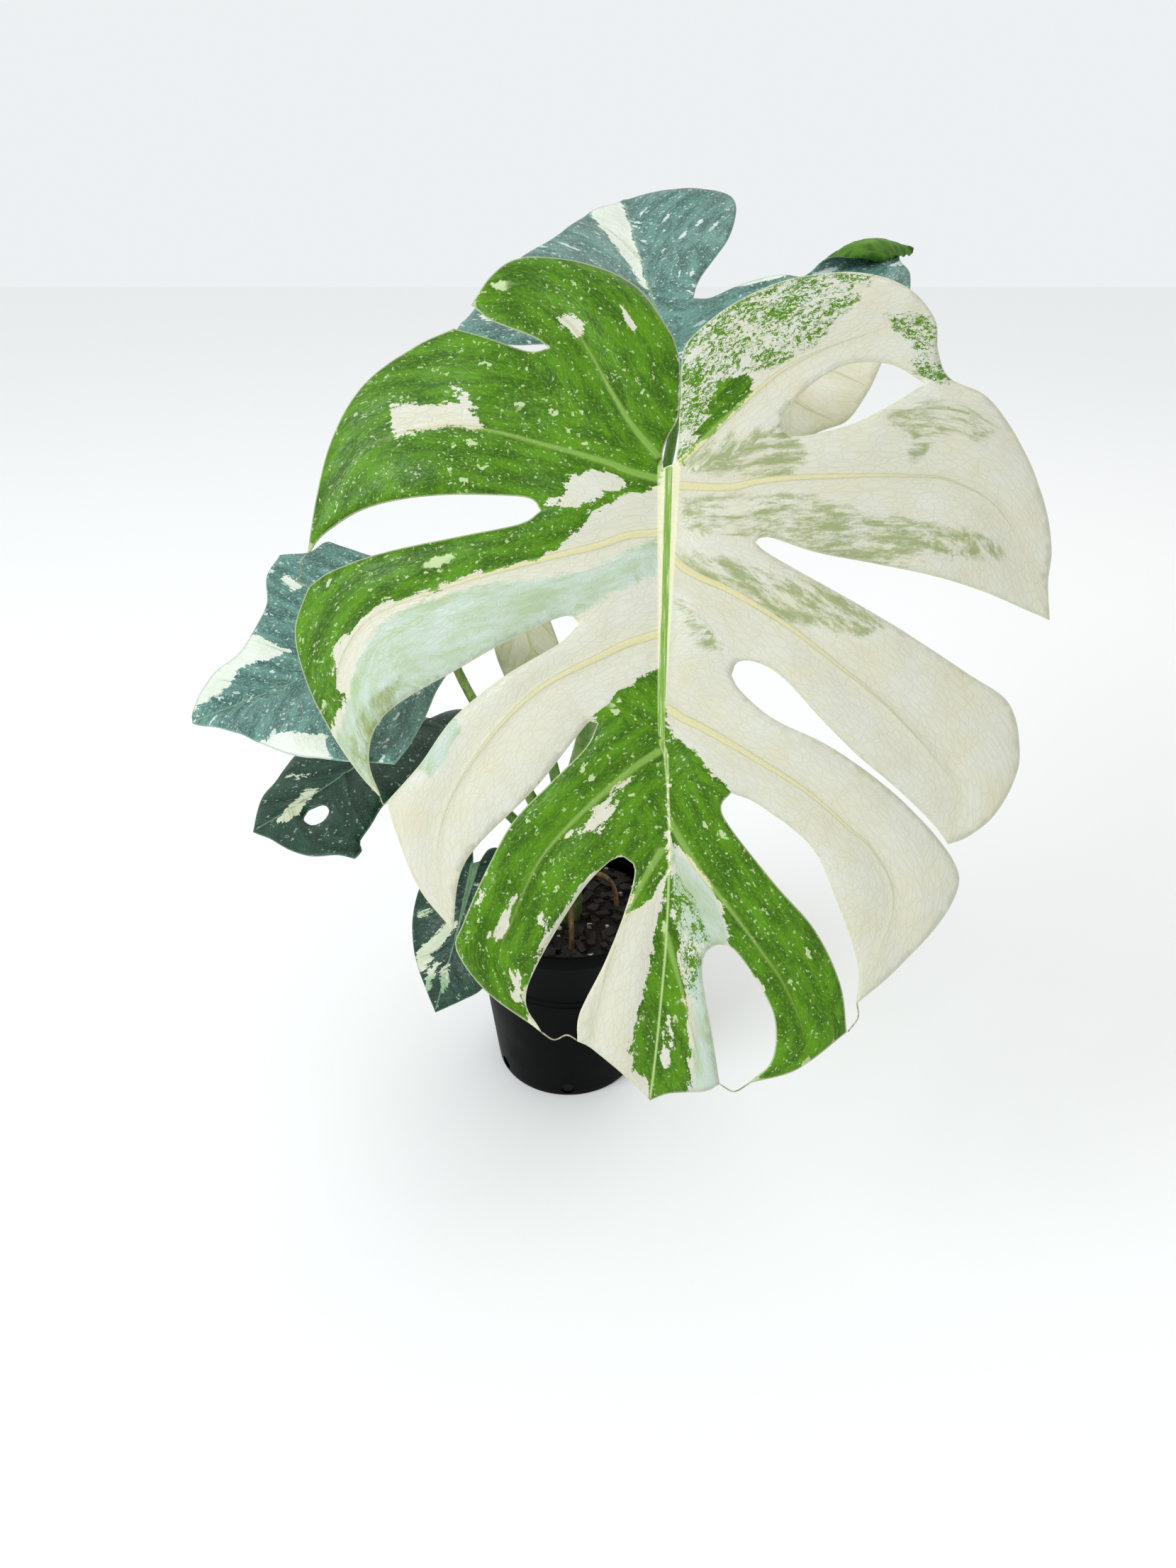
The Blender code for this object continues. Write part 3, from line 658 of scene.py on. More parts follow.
def leafSkin(name, look):
    # Waxy leaf skin over living tissue, IOR 1.45, its gloss broken by fine wax grains: soft, and it shows
    # the quilting. The green tissue holds small pale flecks that run with the veins, and the white tissue
    # shows its own net of veins. Both layouts count in 100 mm, so a scale of 25 gives patches of 4 mm.
    finish, tree, shader = startMaterial(name, look["roughness"], 1.45)
    shader.inputs["Specular IOR Level"].default_value = look["waxGloss"]
    flat = addNode(tree, "UVMap", uv_map="leaf")[0]
    flow = addNode(tree, "UVMap", uv_map="flow")[0]
    cloud = addNode(tree, "TexNoise", {"Vector": flat, "Scale": 34, "Detail": 3})["Color"]
    shift = addNode(tree, "VectorMath", {0: cloud, 1: (0.5, 0.5, 0.5)}, operation="SUBTRACT")[0]
    shift = addNode(tree, "VectorMath", {0: shift, "Scale": 0.055}, operation="SCALE")[0]
    bent = addNode(tree, "VectorMath", {0: flow, 1: shift}, operation="ADD")[0]
    field = {key: addNode(tree, "Attribute", attribute_name=key)["Fac"]
             for key in ("green", "mint", "marble", "wash", "cord", "rib", "core", "edge")}

    # noise patterns: the layout, how far it is drawn out along the veins, and the grain
    patterns = {
        "jagged": (flow, 0.35, {"Scale": 24, "Detail": 4, "Roughness": 0.6}),  # 4 mm
        "blotch": (flow, 0.28, {"Scale": 13, "Detail": 8, "Roughness": 0.78}),  # 8 mm
        "worm": (bent, 0.24, {"Scale": 84, "Detail": 3, "Roughness": 0.6, "Distortion": 0.8}),  # 1.2 mm
        "broad": (flow, 0.5, {"Scale": 9, "Roughness": 0.55}),  # 11 mm
        "tone": (flow, 0.3, {"Scale": 12, "Detail": 5, "Roughness": 0.6}),  # 8 mm
        "fine": (flow, 0.5, {"Scale": 90, "Detail": 3, "Roughness": 0.6}),  # 1.1 mm
    }
    grain = {}
    for key, (layout, drawnOut, settings) in patterns.items():
        drawn = addNode(tree, "Mapping", {0: layout, 3: (drawnOut, 1, 1)})[0]
        grain[key] = addNode(tree, "TexNoise", {"Vector": drawn, **settings})[0]

    # ragged borders between the colours, in mm, drawn out along the veins
    speckled = addNode(tree, "TexNoise", {"Vector": flat, "Scale": 75, "Roughness": 0.55})[0]
    jag = addNode(tree, "Math", {0: grain["jagged"], 1: 13.0, 2: -6.5}, operation="MULTIPLY_ADD")[0]
    fineJag = addNode(tree, "Math", {0: speckled, 1: 4.0, 2: -2.0}, operation="MULTIPLY_ADD")[0]
    jag = addNode(tree, "Math", {0: jag, 1: fineJag}, operation="ADD")[0]
    ragged = {}
    borders = (("green", -0.35, 0.35), ("mint", -1.5, 2.0), ("wash", -3.0, 2.0), ("marble", -1.0, 1.0))
    for key, low, high in borders:
        edge = addNode(tree, "Math", {0: field[key], 1: jag}, operation="ADD")[0]
        ragged[key] = addNode(tree, "MapRange", {0: edge, 1: low, 2: high}, **eased)[0]
    green = ragged["green"]
    blotch = addNode(tree, "MapRange", {0: grain["blotch"], 1: 0.42, 2: 0.58}, **eased)[0]
    wash = addNode(tree, "Math", {0: ragged["wash"], 1: blotch}, operation="MULTIPLY")[0]

    # the marbling: worms of green with threads between them
    drawn = addNode(tree, "Mapping", {0: bent, 3: (0.4, 1, 1)})[0]
    mesh = addNode(tree, "TexVoronoi", {"Vector": drawn, "Scale": 38}, feature="DISTANCE_TO_EDGE")
    broad = addNode(tree, "Math", {0: grain["broad"], 1: 0.55, 2: -0.275}, operation="MULTIPLY_ADD")[0]
    worm = addNode(tree, "Math", {0: grain["worm"], 1: broad}, operation="ADD")[0]
    thread = addNode(tree, "MapRange", {0: mesh["Distance"], 1: 0.09, 2: 0.05}, **eased)[0]
    crowded = addNode(tree, "MapRange", {0: worm, 1: 0.455, 2: 0.485}, **eased)[0]
    thread = addNode(tree, "Math", {0: thread, 1: crowded}, operation="MULTIPLY")[0]
    worm = addNode(tree, "MapRange", {0: worm, 1: 0.525, 2: 0.54}, **eased)[0]
    worm = addNode(tree, "Math", {0: thread, 1: worm}, operation="MAXIMUM")[0]
    marble = addNode(tree, "Math", {0: ragged["marble"], 1: worm}, operation="MULTIPLY")[0]

    # the green tissue, streaked, with pale flecks
    streak = addNode(tree, "MapRange", {0: grain["tone"], 1: 0.36, 2: 0.66}, **eased)[0]
    tissue = addNode(tree, "Mix", {0: streak, 6: colour(look["deep"]), 7: colour(look["green"])},
                     **inColour)[2]
    streak = addNode(tree, "MapRange", {0: grain["fine"], 1: 0.46, 2: 0.7, 3: 0, 4: 0.5}, **eased)[0]
    tissue = addNode(tree, "Mix", {0: streak, 6: tissue, 7: colour(look["light"])}, **inColour)[2]
    cloud = addNode(tree, "TexNoise", {"Vector": flat, "Scale": 2.2, "Detail": 3, "Roughness": 0.55})[0]
    density = addNode(tree, "MapRange", {0: cloud, 1: 0.3, 2: 0.7, 3: 0.45, 4: 1.35}, **eased)[0]
    density = addNode(tree, "Math", {0: density, 1: look["fleckAmount"]}, operation="MULTIPLY")[0]
    for scale, stretch, cover, width, strength in look["flecks"]:
        drawn = addNode(tree, "Mapping", {0: bent, 3: (stretch, 1, 1)})[0]
        spots = addNode(tree, "TexVoronoi", {"Vector": drawn, "Scale": scale}, feature="F1")
        pick = addNode(tree, "SeparateColor", {0: spots["Color"]})
        some = addNode(tree, "Math", {0: density, 1: cover}, operation="MULTIPLY")[0]
        some = addNode(tree, "Math", {0: some, 1: pick[0]}, operation="SUBTRACT")[0]
        some = addNode(tree, "MapRange", {0: some, 1: 0, 2: 0.02}, **eased)[0]
        dot = addNode(tree, "Math", {0: pick[1], 1: width, 2: width * 0.5}, operation="MULTIPLY_ADD")[0]
        dot = addNode(tree, "Math", {0: dot, 1: spots["Distance"]}, operation="SUBTRACT")[0]
        dot = addNode(tree, "MapRange", {0: dot, 1: 0, 2: 0.07}, **eased)[0]
        dot = addNode(tree, "Math", {0: dot, 1: some}, operation="MULTIPLY")[0]
        dot = addNode(tree, "Math", {0: dot, 1: strength}, operation="MULTIPLY")[0]
        tissue = addNode(tree, "Mix", {0: dot, 6: tissue, 7: colour(look["fleck"])}, **inColour)[2]

    # the white tissue: warmer by its side veins, netted with fine veins 8 mm and 3 mm apart
    cloud = addNode(tree, "TexNoise", {"Vector": flat, "Scale": 3.5, "Detail": 4, "Roughness": 0.6})[0]
    warm = addNode(tree, "MapRange", {0: cloud, 1: 0.3, 2: 0.8}, **eased)[0]
    byVein = addNode(tree, "MapRange", {0: field["cord"], 1: -13, 2: -1, 3: 0, 4: 0.6}, **eased)[0]
    warm = addNode(tree, "Math", {0: warm, 1: byVein}, operation="MAXIMUM")[0]
    white = addNode(tree, "Mix", {0: warm, 6: colour(look["cream"]), 7: colour(look["creamDeep"])},
                    **inColour)[2]
    nets = []
    for scale, width in ((13, 0.04), (34, 0.08)):
        drawn = addNode(tree, "Mapping", {0: flow, 3: (0.36, 1, 1)})[0]
        cells = addNode(tree, "TexVoronoi", {"Vector": drawn, "Scale": scale}, feature="DISTANCE_TO_EDGE")
        nets.append(addNode(tree, "MapRange", {0: cells["Distance"], 1: width, 2: 0.0}, **eased)[0])
    net = addNode(tree, "Math", {0: nets[0], 1: 0.8}, operation="MULTIPLY")[0]
    net = addNode(tree, "Math", {0: net, 1: nets[1]}, operation="MAXIMUM")[0]
    streak = addNode(tree, "MapRange", {0: grain["tone"], 1: 0.34, 2: 0.70}, **eased)[0]
    mintTone = addNode(tree, "Mix", {0: streak, 6: colour(look["mintPale"]), 7: colour(look["mint"])},
                       **inColour)[2]
    streak = addNode(tree, "MapRange", {0: grain["fine"], 1: 0.4, 2: 0.65}, **eased)[0]
    marbleTone = addNode(tree, "Mix", {0: streak, 6: colour(look["worm"]), 7: colour(look["wormDeep"])},
                         **inColour)[2]
    layers = ((ragged["mint"], 0.85, mintTone), (net, 0.13, colour(look["veinlet"])),
              (wash, 0.85, colour(look["wash"])), (ragged["marble"], 0.12, colour(look["mintPale"])),
              (marble, 1.0, marbleTone))
    for share, amount, tint in layers:
        share = addNode(tree, "Math", {0: share, 1: amount}, operation="MULTIPLY")[0]
        white = addNode(tree, "Mix", {0: share, 6: white, 7: tint}, **inColour)[2]
    skin = addNode(tree, "Mix", {0: green, 6: white, 7: tissue}, **inColour)[2]

    # side veins with a darker line beside them, painted shade of the raised vein, the midrib's flanks and
    # core, and the margin
    cord = addNode(tree, "MapRange", {0: field["cord"], 1: -0.4, 2: 0.5}, **eased)[0]
    side = addNode(tree, "MapRange", {0: field["cord"], 1: -1.0, 2: -0.2}, **eased)[0]
    side = addNode(tree, "Math", {0: side, 1: cord}, operation="SUBTRACT")[0]
    flank = addNode(tree, "MapRange", {0: field["rib"], 1: -0.6, 2: 0.5}, **eased)[0]
    core = addNode(tree, "MapRange", {0: field["core"], 1: -0.3, 2: 0.4}, **eased)[0]
    margin = addNode(tree, "MapRange", {0: field["edge"], 1: 1.1, 2: 0.2}, **eased)[0]
    cordTone = addNode(tree, "Mix", {0: green, 6: colour(look["cord"]), 7: colour(look["cordGreen"])},
                       **inColour)[2]
    flankTone = addNode(tree, "Mix", {0: green, 6: colour(look["flank"]), 7: colour(look["coreLight"])},
                        **inColour)[2]
    drawn = addNode(tree, "Mapping", {0: flat, 3: (1, 0.03, 1)})[0]
    fibre = addNode(tree, "TexNoise", {"Vector": drawn, "Scale": 140, "Detail": 3, "Roughness": 0.55})[0]
    fibre = addNode(tree, "MapRange", {0: fibre, 1: 0.5, 2: 0.62}, **eased)[0]
    coreTone = addNode(tree, "Mix", {0: fibre, 6: colour(look["core"]), 7: colour(look["coreLight"])},
                       **inColour)[2]
    # side carries the painted shade beside each side vein
    layers = ((side, 0.38, colour(look["cordShade"])), (cord, look["cordShow"], cordTone),
              (flank, look["ribShow"], flankTone), (core, look["ribShow"], coreTone),
              (margin, 0.55, colour(look["margin"])))
    for share, amount, tint in layers:
        share = addNode(tree, "Math", {0: share, 1: amount}, operation="MULTIPLY")[0]
        skin = addNode(tree, "Mix", {0: share, 6: skin, 7: tint}, **inColour)[2]
    tree.links.new(skin, shader.inputs["Base Color"])

    wax = addNode(tree, "TexNoise", {"Vector": flat, "Scale": 24, "Detail": 3, "Roughness": 0.55})[0]
    dull, sleek = look["roughness"] + 0.07, look["roughness"] - 0.07
    gloss = addNode(tree, "MapRange", {0: wax, 1: 0.3, 2: 0.7, 3: sleek, 4: dull}, **eased)[0]
    tree.links.new(gloss, shader.inputs["Roughness"])
    relief = addNode(tree, "Math", {0: wax, 1: 0.8}, operation="MULTIPLY")[0]
    relief = addNode(tree, "Math", {0: relief, 1: net}, operation="SUBTRACT")[0]
    bump = addNode(tree, "Bump", {"Strength": 0.32, "Distance": 0.0004, "Height": relief})
    tree.links.new(bump[0], shader.inputs["Normal"])
    return finish


def undersideSkin(name, base, vein, pale):
    # The underside has no wax: paler, duller, its veins standing out. The white patches go right through
    # the leaf, so they show here too.
    finish, tree, shader = startMaterial(name, 0.55, 1.4)
    flow = addNode(tree, "UVMap", uv_map="flow")[0]
    drawn = addNode(tree, "Mapping", {0: flow, 3: (0.4, 1, 1)})[0]
    tone = addNode(tree, "TexNoise", {"Vector": drawn, "Scale": 18, "Detail": 4, "Roughness": 0.6})[0]
    drawn = addNode(tree, "Mapping", {0: flow, 3: (0.16, 1, 1)})[0]
    lines = addNode(tree, "TexWave", {"Vector": drawn, "Scale": 5.2, "Distortion": 5.0, "Detail": 2.0},
                    wave_type="BANDS", bands_direction="Y")["Fac"]
    veined = addNode(tree, "MapRange", {0: lines, 1: 0.8, 2: 1.0, 3: 0, 4: 0.4}, **eased)[0]
    mottle = addNode(tree, "MapRange", {0: tone, 1: 0.35, 2: 0.68}, **eased)[0]
    tissue = []
    for first, second in (pale, (base, vein)):
        shade = addNode(tree, "Mix", {0: mottle, 6: colour(first), 7: colour(second)}, **inColour)[2]
        tissue.append(addNode(tree, "Mix", {0: veined, 6: shade, 7: colour(vein)}, **inColour)[2])
    drawn = addNode(tree, "Mapping", {0: flow, 3: (0.35, 1, 1)})[0]
    jag = addNode(tree, "TexNoise", {"Vector": drawn, "Scale": 24, "Detail": 4, "Roughness": 0.6})[0]
    jag = addNode(tree, "Math", {0: jag, 1: 13.0, 2: -6.5}, operation="MULTIPLY_ADD")[0]
    green = addNode(tree, "Attribute", attribute_name="green")["Fac"]
    green = addNode(tree, "Math", {0: green, 1: jag}, operation="ADD")[0]
    green = addNode(tree, "MapRange", {0: green, 1: -0.8, 2: 0.8}, **eased)[0]
    skin = addNode(tree, "Mix", {0: green, 6: tissue[0], 7: tissue[1]}, **inColour)[2]
    tree.links.new(skin, shader.inputs["Base Color"])
    bump = addNode(tree, "Bump", {"Strength": 0.4, "Distance": 0.0004, "Height": lines})
    tree.links.new(bump[0], shader.inputs["Normal"])
    return finish


def streakedSkin(name, deep, light, pale, roughness):
    # Smooth living stalk or rib skin: lengthwise streaks about 1 mm wide, clouds of 17 mm and pale specks
    # of 2 mm, waxy. Object coordinates are in metres, so a scale of 900 is 1.1 mm.
    finish, tree, shader = startMaterial(name, roughness, 1.45)
    place = addNode(tree, "TexCoord")["Object"]
    drawn = addNode(tree, "Mapping", {0: place, 3: (1, 1, 0.06)})[0]
    streak = addNode(tree, "TexNoise", {"Vector": drawn, "Scale": 900, "Detail": 3, "Roughness": 0.6})[0]
    drawn = addNode(tree, "Mapping", {0: place, 3: (1, 1, 0.5)})[0]
    broad = addNode(tree, "TexNoise", {"Vector": drawn, "Scale": 60, "Detail": 3, "Roughness": 0.6})[0]
    drawn = addNode(tree, "Mapping", {0: place, 3: (1, 1, 0.4)})[0]
    speck = addNode(tree, "TexVoronoi", {"Vector": drawn, "Scale": 480})["Distance"]
    skin = colour(deep)
    layers = ((streak, 0.35, 0.65, 1.0, light), (broad, 0.48, 0.72, 0.6, pale),
              (speck, 0.22, 0.1, 0.5, pale))
    for pattern, low, high, most, tint in layers:
        share = addNode(tree, "MapRange", {0: pattern, 1: low, 2: high, 3: 0, 4: most}, **eased)[0]
        skin = addNode(tree, "Mix", {0: share, 6: skin, 7: colour(tint)}, **inColour)[2]
    tree.links.new(skin, shader.inputs["Base Color"])
    dull = {0: broad, 1: 0.3, 2: 0.7, 3: roughness - 0.05, 4: roughness + 0.08}
    tree.links.new(addNode(tree, "MapRange", dull, **eased)[0], shader.inputs["Roughness"])
    bump = addNode(tree, "Bump", {"Strength": 0.4, "Distance": 0.0003, "Height": streak})
    tree.links.new(bump[0], shader.inputs["Normal"])
    return finish


def roughBark(name, deep, light, scale, roughness=0.8, stretch=(1, 1, 1)):
    # Corky, dry tissue: uneven brown, cracked, with no gloss. The scale is 1 over the grain in metres.
    finish, tree, shader = startMaterial(name, roughness, 1.45)
    place = addNode(tree, "TexCoord")["Object"]
    place = addNode(tree, "Mapping", {0: place, 3: stretch})[0]
    grain = addNode(tree, "TexNoise", {"Vector": place, "Scale": scale, "Detail": 6, "Roughness": 0.65})[0]
    fine = addNode(tree, "TexNoise", {"Vector": place, "Scale": scale * 6, "Detail": 4, "Roughness": 0.6})[0]
    cracks = addNode(tree, "TexVoronoi", {"Vector": place, "Scale": scale * 1.6}, feature="DISTANCE_TO_EDGE")
    skin = colour(deep)
    layers = ((grain, 0.36, 0.66, 1.0, light), (fine, 0.4, 0.7, 0.45, deep),
              (cracks["Distance"], 0.06, 0.0, 0.5, deep))
    for pattern, low, high, most, tint in layers:
        share = addNode(tree, "MapRange", {0: pattern, 1: low, 2: high, 3: 0, 4: most}, **eased)[0]
        skin = addNode(tree, "Mix", {0: share, 6: skin, 7: colour(tint)}, **inColour)[2]
    tree.links.new(skin, shader.inputs["Base Color"])
    dull = {0: fine, 1: 0.3, 2: 0.7, 3: roughness - 0.1, 4: roughness + 0.1}
    tree.links.new(addNode(tree, "MapRange", dull, **eased)[0], shader.inputs["Roughness"])
    height = addNode(tree, "Math", {0: fine, 1: 0.5}, operation="MULTIPLY")[0]
    height = addNode(tree, "Math", {0: grain, 1: height}, operation="ADD")[0]
    bump = addNode(tree, "Bump", {"Strength": 0.7, "Distance": 0.0008, "Height": height})
    tree.links.new(bump[0], shader.inputs["Normal"])
    return finish


def potPlastic():
    # Thin moulded polypropylene, carbon black, IOR 1.49: its fine texture breaks up most of the gloss.
    # Dusty patches of 45 mm, a 2.4 mm grain and fine lines round the wall from the mould.
    finish, tree, shader = startMaterial("polypropylenePot", 0.5, 1.49)
    shader.inputs["Specular IOR Level"].default_value = 0.06
    place = addNode(tree, "TexCoord")["Object"]
    dust = addNode(tree, "TexNoise", {"Vector": place, "Scale": 22, "Detail": 5, "Roughness": 0.65})[0]
    grain = addNode(tree, "TexNoise", {"Vector": place, "Scale": 420, "Detail": 3, "Roughness": 0.6})[0]
    around = addNode(tree, "Mapping", {0: place, 3: (0.02, 0.02, 1)})[0]
    lines = addNode(tree, "TexNoise", {"Vector": around, "Scale": 900, "Roughness": 0.55})[0]
    dusty = addNode(tree, "MapRange", {0: dust, 1: 0.42, 2: 0.75}, **eased)[0]
    skin = addNode(tree, "Mix", {0: dusty, 6: colour("#010202"), 7: colour("#050607")}, **inColour)[2]
    tree.links.new(skin, shader.inputs["Base Color"])
    dull = addNode(tree, "MapRange", {0: dust, 1: 0.35, 2: 0.7, 3: 0.44, 4: 0.58}, **eased)[0]
    tree.links.new(dull, shader.inputs["Roughness"])
    height = addNode(tree, "Math", {0: grain, 1: 0.5}, operation="MULTIPLY")[0]
    height = addNode(tree, "Math", {0: height, 1: lines}, operation="ADD")[0]
    bump = addNode(tree, "Bump", {"Strength": 0.25, "Distance": 0.0002, "Height": height})
    tree.links.new(bump[0], shader.inputs["Normal"])
    return finish


# flecks: cells in 100 mm, how far they are drawn out, how many show, their width and strength
greenFlecks = ((54, 0.6, 0.55, 0.27, 0.6), (24, 0.42, 0.13, 0.28, 0.8), (9, 0.36, 0.11, 0.27, 0.9))
longFlecks = ((46, 0.45, 0.45, 0.28, 0.5), (20, 0.26, 0.20, 0.26, 0.75), (9, 0.20, 0.16, 0.24, 0.8))
variegated = dict(green="#528706", deep="#305B00", light="#789F1A", fleck="#C3D59E", fleckAmount=1.0,
                  worm="#5A880A", wormDeep="#3D6A04", flecks=greenFlecks,
                  cream="#D3D3C4", creamDeep="#D1CCB0", veinlet="#A5A68A",
                  mint="#9CB585", mintPale="#BACABD", wash="#8B985C", cord="#D8D09C", cordGreen="#7FAA46",
                  cordShow=0.9, cordShade="#8F9058", flank="#E6E2BE", core="#739F35", coreLight="#B4CB84",
                  ribShow=0.95, margin="#DCE2B8", roughness=0.34, waxGloss=0.26)
# the dark leaves: greens lighter and bluer than their own green, partly painted sky sheen
dark = dict(variegated, green="#628E81", deep="#395F54", light="#A0BCB6", fleck="#DFE9E6",
            fleckAmount=1.3, flecks=longFlecks, cream="#E6EBE0", creamDeep="#D5DEC8", mint="#8FB08A",
            cordGreen="#5E8C74", cordShow=0.4, cordShade="#2B4C44", flank="#86AC8C", core="#5C8A5C",
            coreLight="#8CB08A", ribShow=0.7, margin="#8FB096", roughness=0.3)
# a darker copy of the dark look for the leaves low under the big leaf: painted shade
darkPaintedShade = dict(dark, green="#2A4A38", deep="#182E22", light="#456B54", fleck="#B9CBBE", fleckAmount=0.8,
              cream="#D9DFC8", creamDeep="#BFC8A4", mint="#5F8A5C", mintPale="#9CBB94",
              cordGreen="#3F634E", flank="#5F8468", core="#3F6A44", margin="#6C8C72")
pale = dict(variegated, cream="#E6E2D2", creamDeep="#D8D1AE", wash="#C9CBA4", cordShow=0.5,
            flank="#DAD9A8", core="#C8CC94", coreLight="#DCDDB0", ribShow=0.8)
skins = {"variegated": leafSkin("waxyVariegatedLeaf", variegated), "dark": leafSkin("waxyDarkLeaf", dark),
         "darkPaintedShade": leafSkin("waxyDarkLeafPaintedShade", darkPaintedShade), "pale": leafSkin("waxyCreamLeaf", pale)}
dullCream, dullPale = ("#D2D2BC", "#B9C098"), ("#BFC9A6", "#9FB082")
underside = {"variegated": undersideSkin("matteLeafUnderside", "#5C8A38", "#A9C07C", dullCream),
             "dark": undersideSkin("matteDarkLeafUnderside", "#34600C", "#5C8A22", dullPale),
             "darkPaintedShade": undersideSkin("matteShadedLeafUnderside", "#3F6A34", "#6E9655", dullPale),
             "pale": undersideSkin("matteCreamLeafUnderside", "#C9CB9C", "#DEDDB8", dullCream)}
ribSkin = streakedSkin("leafRibTissue", "#7E9E48", "#A9BE72", "#D5D9A4", 0.42)
stalkSkin = streakedSkin("leafStalkSkin", "#3F6418", "#5F8A2C", "#A4B865", 0.38)
# old green stem with a corky skin, grain 11 mm, twice as long up the stem
stemSkin = roughBark("corkyGreenStem", "#3A4A1C", "#6E7C3A", 90, 0.6, (1, 1, 0.5))
# brown cork on the roots, grain 6 mm, drawn out downwards
rootSkin = roughBark("aerialRootCork", "#4A361F", "#8E7248", 160, 0.75, (1, 1, 0.35))
# peat and bark fines, nearly black: their own dark colour deepened with painted shade, clods of 8 mm
soilSkin = roughBark("peatAndBark", "#0A0705", "#20160E", 120, 0.95)
# pine bark, darkened with painted shade, grain 7 mm with long fibres
chipSkin = roughBark("pineBarkChips", "#120C08", "#2F2219", 150, 0.85, (1, 0.3, 1))
# puffed white grains gone grey with soil, pits of 4 mm
perliteSkin = roughBark("perliteGrains", "#8D897D", "#C9C5B8", 260, 0.9)
# dried torn margin, papery, mottled every 3 mm
threadSkin = roughBark("dryLeafThread", "#8A8268", "#C9C3A8", 300, 0.7)
print("materials made")


def bladeAxes(leaf):
    # the directions to the viewer's right along the blade, to its base, and out of its upper face
    hang, heading = math.radians(leaf["hang"]), math.radians(leaf["heading"])
    base = Vector((-math.sin(heading) * math.cos(hang), math.cos(heading) * math.cos(hang),
                   math.sin(hang)))
    right = Vector((math.cos(heading), math.sin(heading), 0))
    return right, base, right.cross(base)


def leafOrigin(leaf):
    # the notch where the stalk meets the blade
    x, y, height = leaf["at"]
    return Vector((x, y, soilTop + height))


def broadRelief(leaf, x, y):
    # the blade's large shape: a fold along the midrib, and edges and ends that droop
    fold = np.where(x < 0, leaf["fold"][0], leaf["fold"][1])
    end = np.where(y > 0, leaf["base"], leaf["tip"])
    return fold * (np.hypot(x, 4) - 4) - leaf["across"] * x * x - end * y * y


# What a user would change on the blades and their stalks, in metres unless a line says mm.
plant = dict(
    bladeThickness=0.0008,
    threadRadius=0.0004,
    ribRadius=0.0026,
    quilting=2.6,  # mm that the blade rises between its veins
    cordHeight=1.3,  # mm that the side veins stand up
    stalkBase=0.0066,
    stalkSides=18,
    stalkRings=46,
    seed=7,
)


def marginOf(points, loops):
    # distance to the nearest edge of the blade or of its holes
    return np.min([toLine(points, np.vstack([loop, loop[:1]]))[0] for loop in loops], axis=0)


def onBlade(points, loops):
    # inside the first loop, the blade's edge, and outside the others, its holes
    inside = within(points, loops[0])
    for hole in loops[1:]:
        inside &= ~within(points, hole)
    return inside


def layNet(leaf, loops, veinLines):
    # a flat net over the blade, closer along its veins
    rng = random.Random(plant["seed"])
    cell = leaf["cell"]
    wanted = []
    for line in veinLines:
        ahead = np.gradient(line, axis=0)
        ahead /= np.linalg.norm(ahead, axis=1)[:, None]
        normal = np.stack([-ahead[:, 1], ahead[:, 0]], axis=1)
        for offset in (0, 1.5, -1.5, 3.4, -3.4):  # mm to the sides of the vein
            wanted.append(line + normal * offset)
    wanted = np.concatenate(wanted)
    low, high = loops[0].min(axis=0), loops[0].max(axis=0)
    rows = np.arange(low[1], high[1], cell * 0.87)
    columns = np.arange(low[0], high[0], cell)
    net = [(x + (i % 2) * cell / 2, y) for i, y in enumerate(rows) for x in columns]
    net = np.array(net) + [[rng.uniform(-0.4, 0.4), rng.uniform(-0.4, 0.4)] for _ in net]
    inner = []
    for some, fromEdge, gap in ((wanted, 1.1, 1.2), (net, 1.8, cell * 0.62)):
        some = some[onBlade(some, loops) & (marginOf(some, loops) > fromEdge)]
        inner = spread(some, inner, gap)
    points, joins = [], []
    for loop in loops:
        first = len(points)
        points += [Vector(p) for p in loop]
        joins += [(first + i, first + (i + 1) % len(loop)) for i in range(len(loop))]
    points += [Vector(p) for p in inner]
    corners, _, triangles, *_ = delaunay_2d_cdt(points, joins, [], 1, 1e-4)
    flat = np.array([tuple(p) for p in corners])
    triangles = np.array(triangles)
    return flat, triangles[onBlade(flat[triangles].mean(axis=1), loops)]


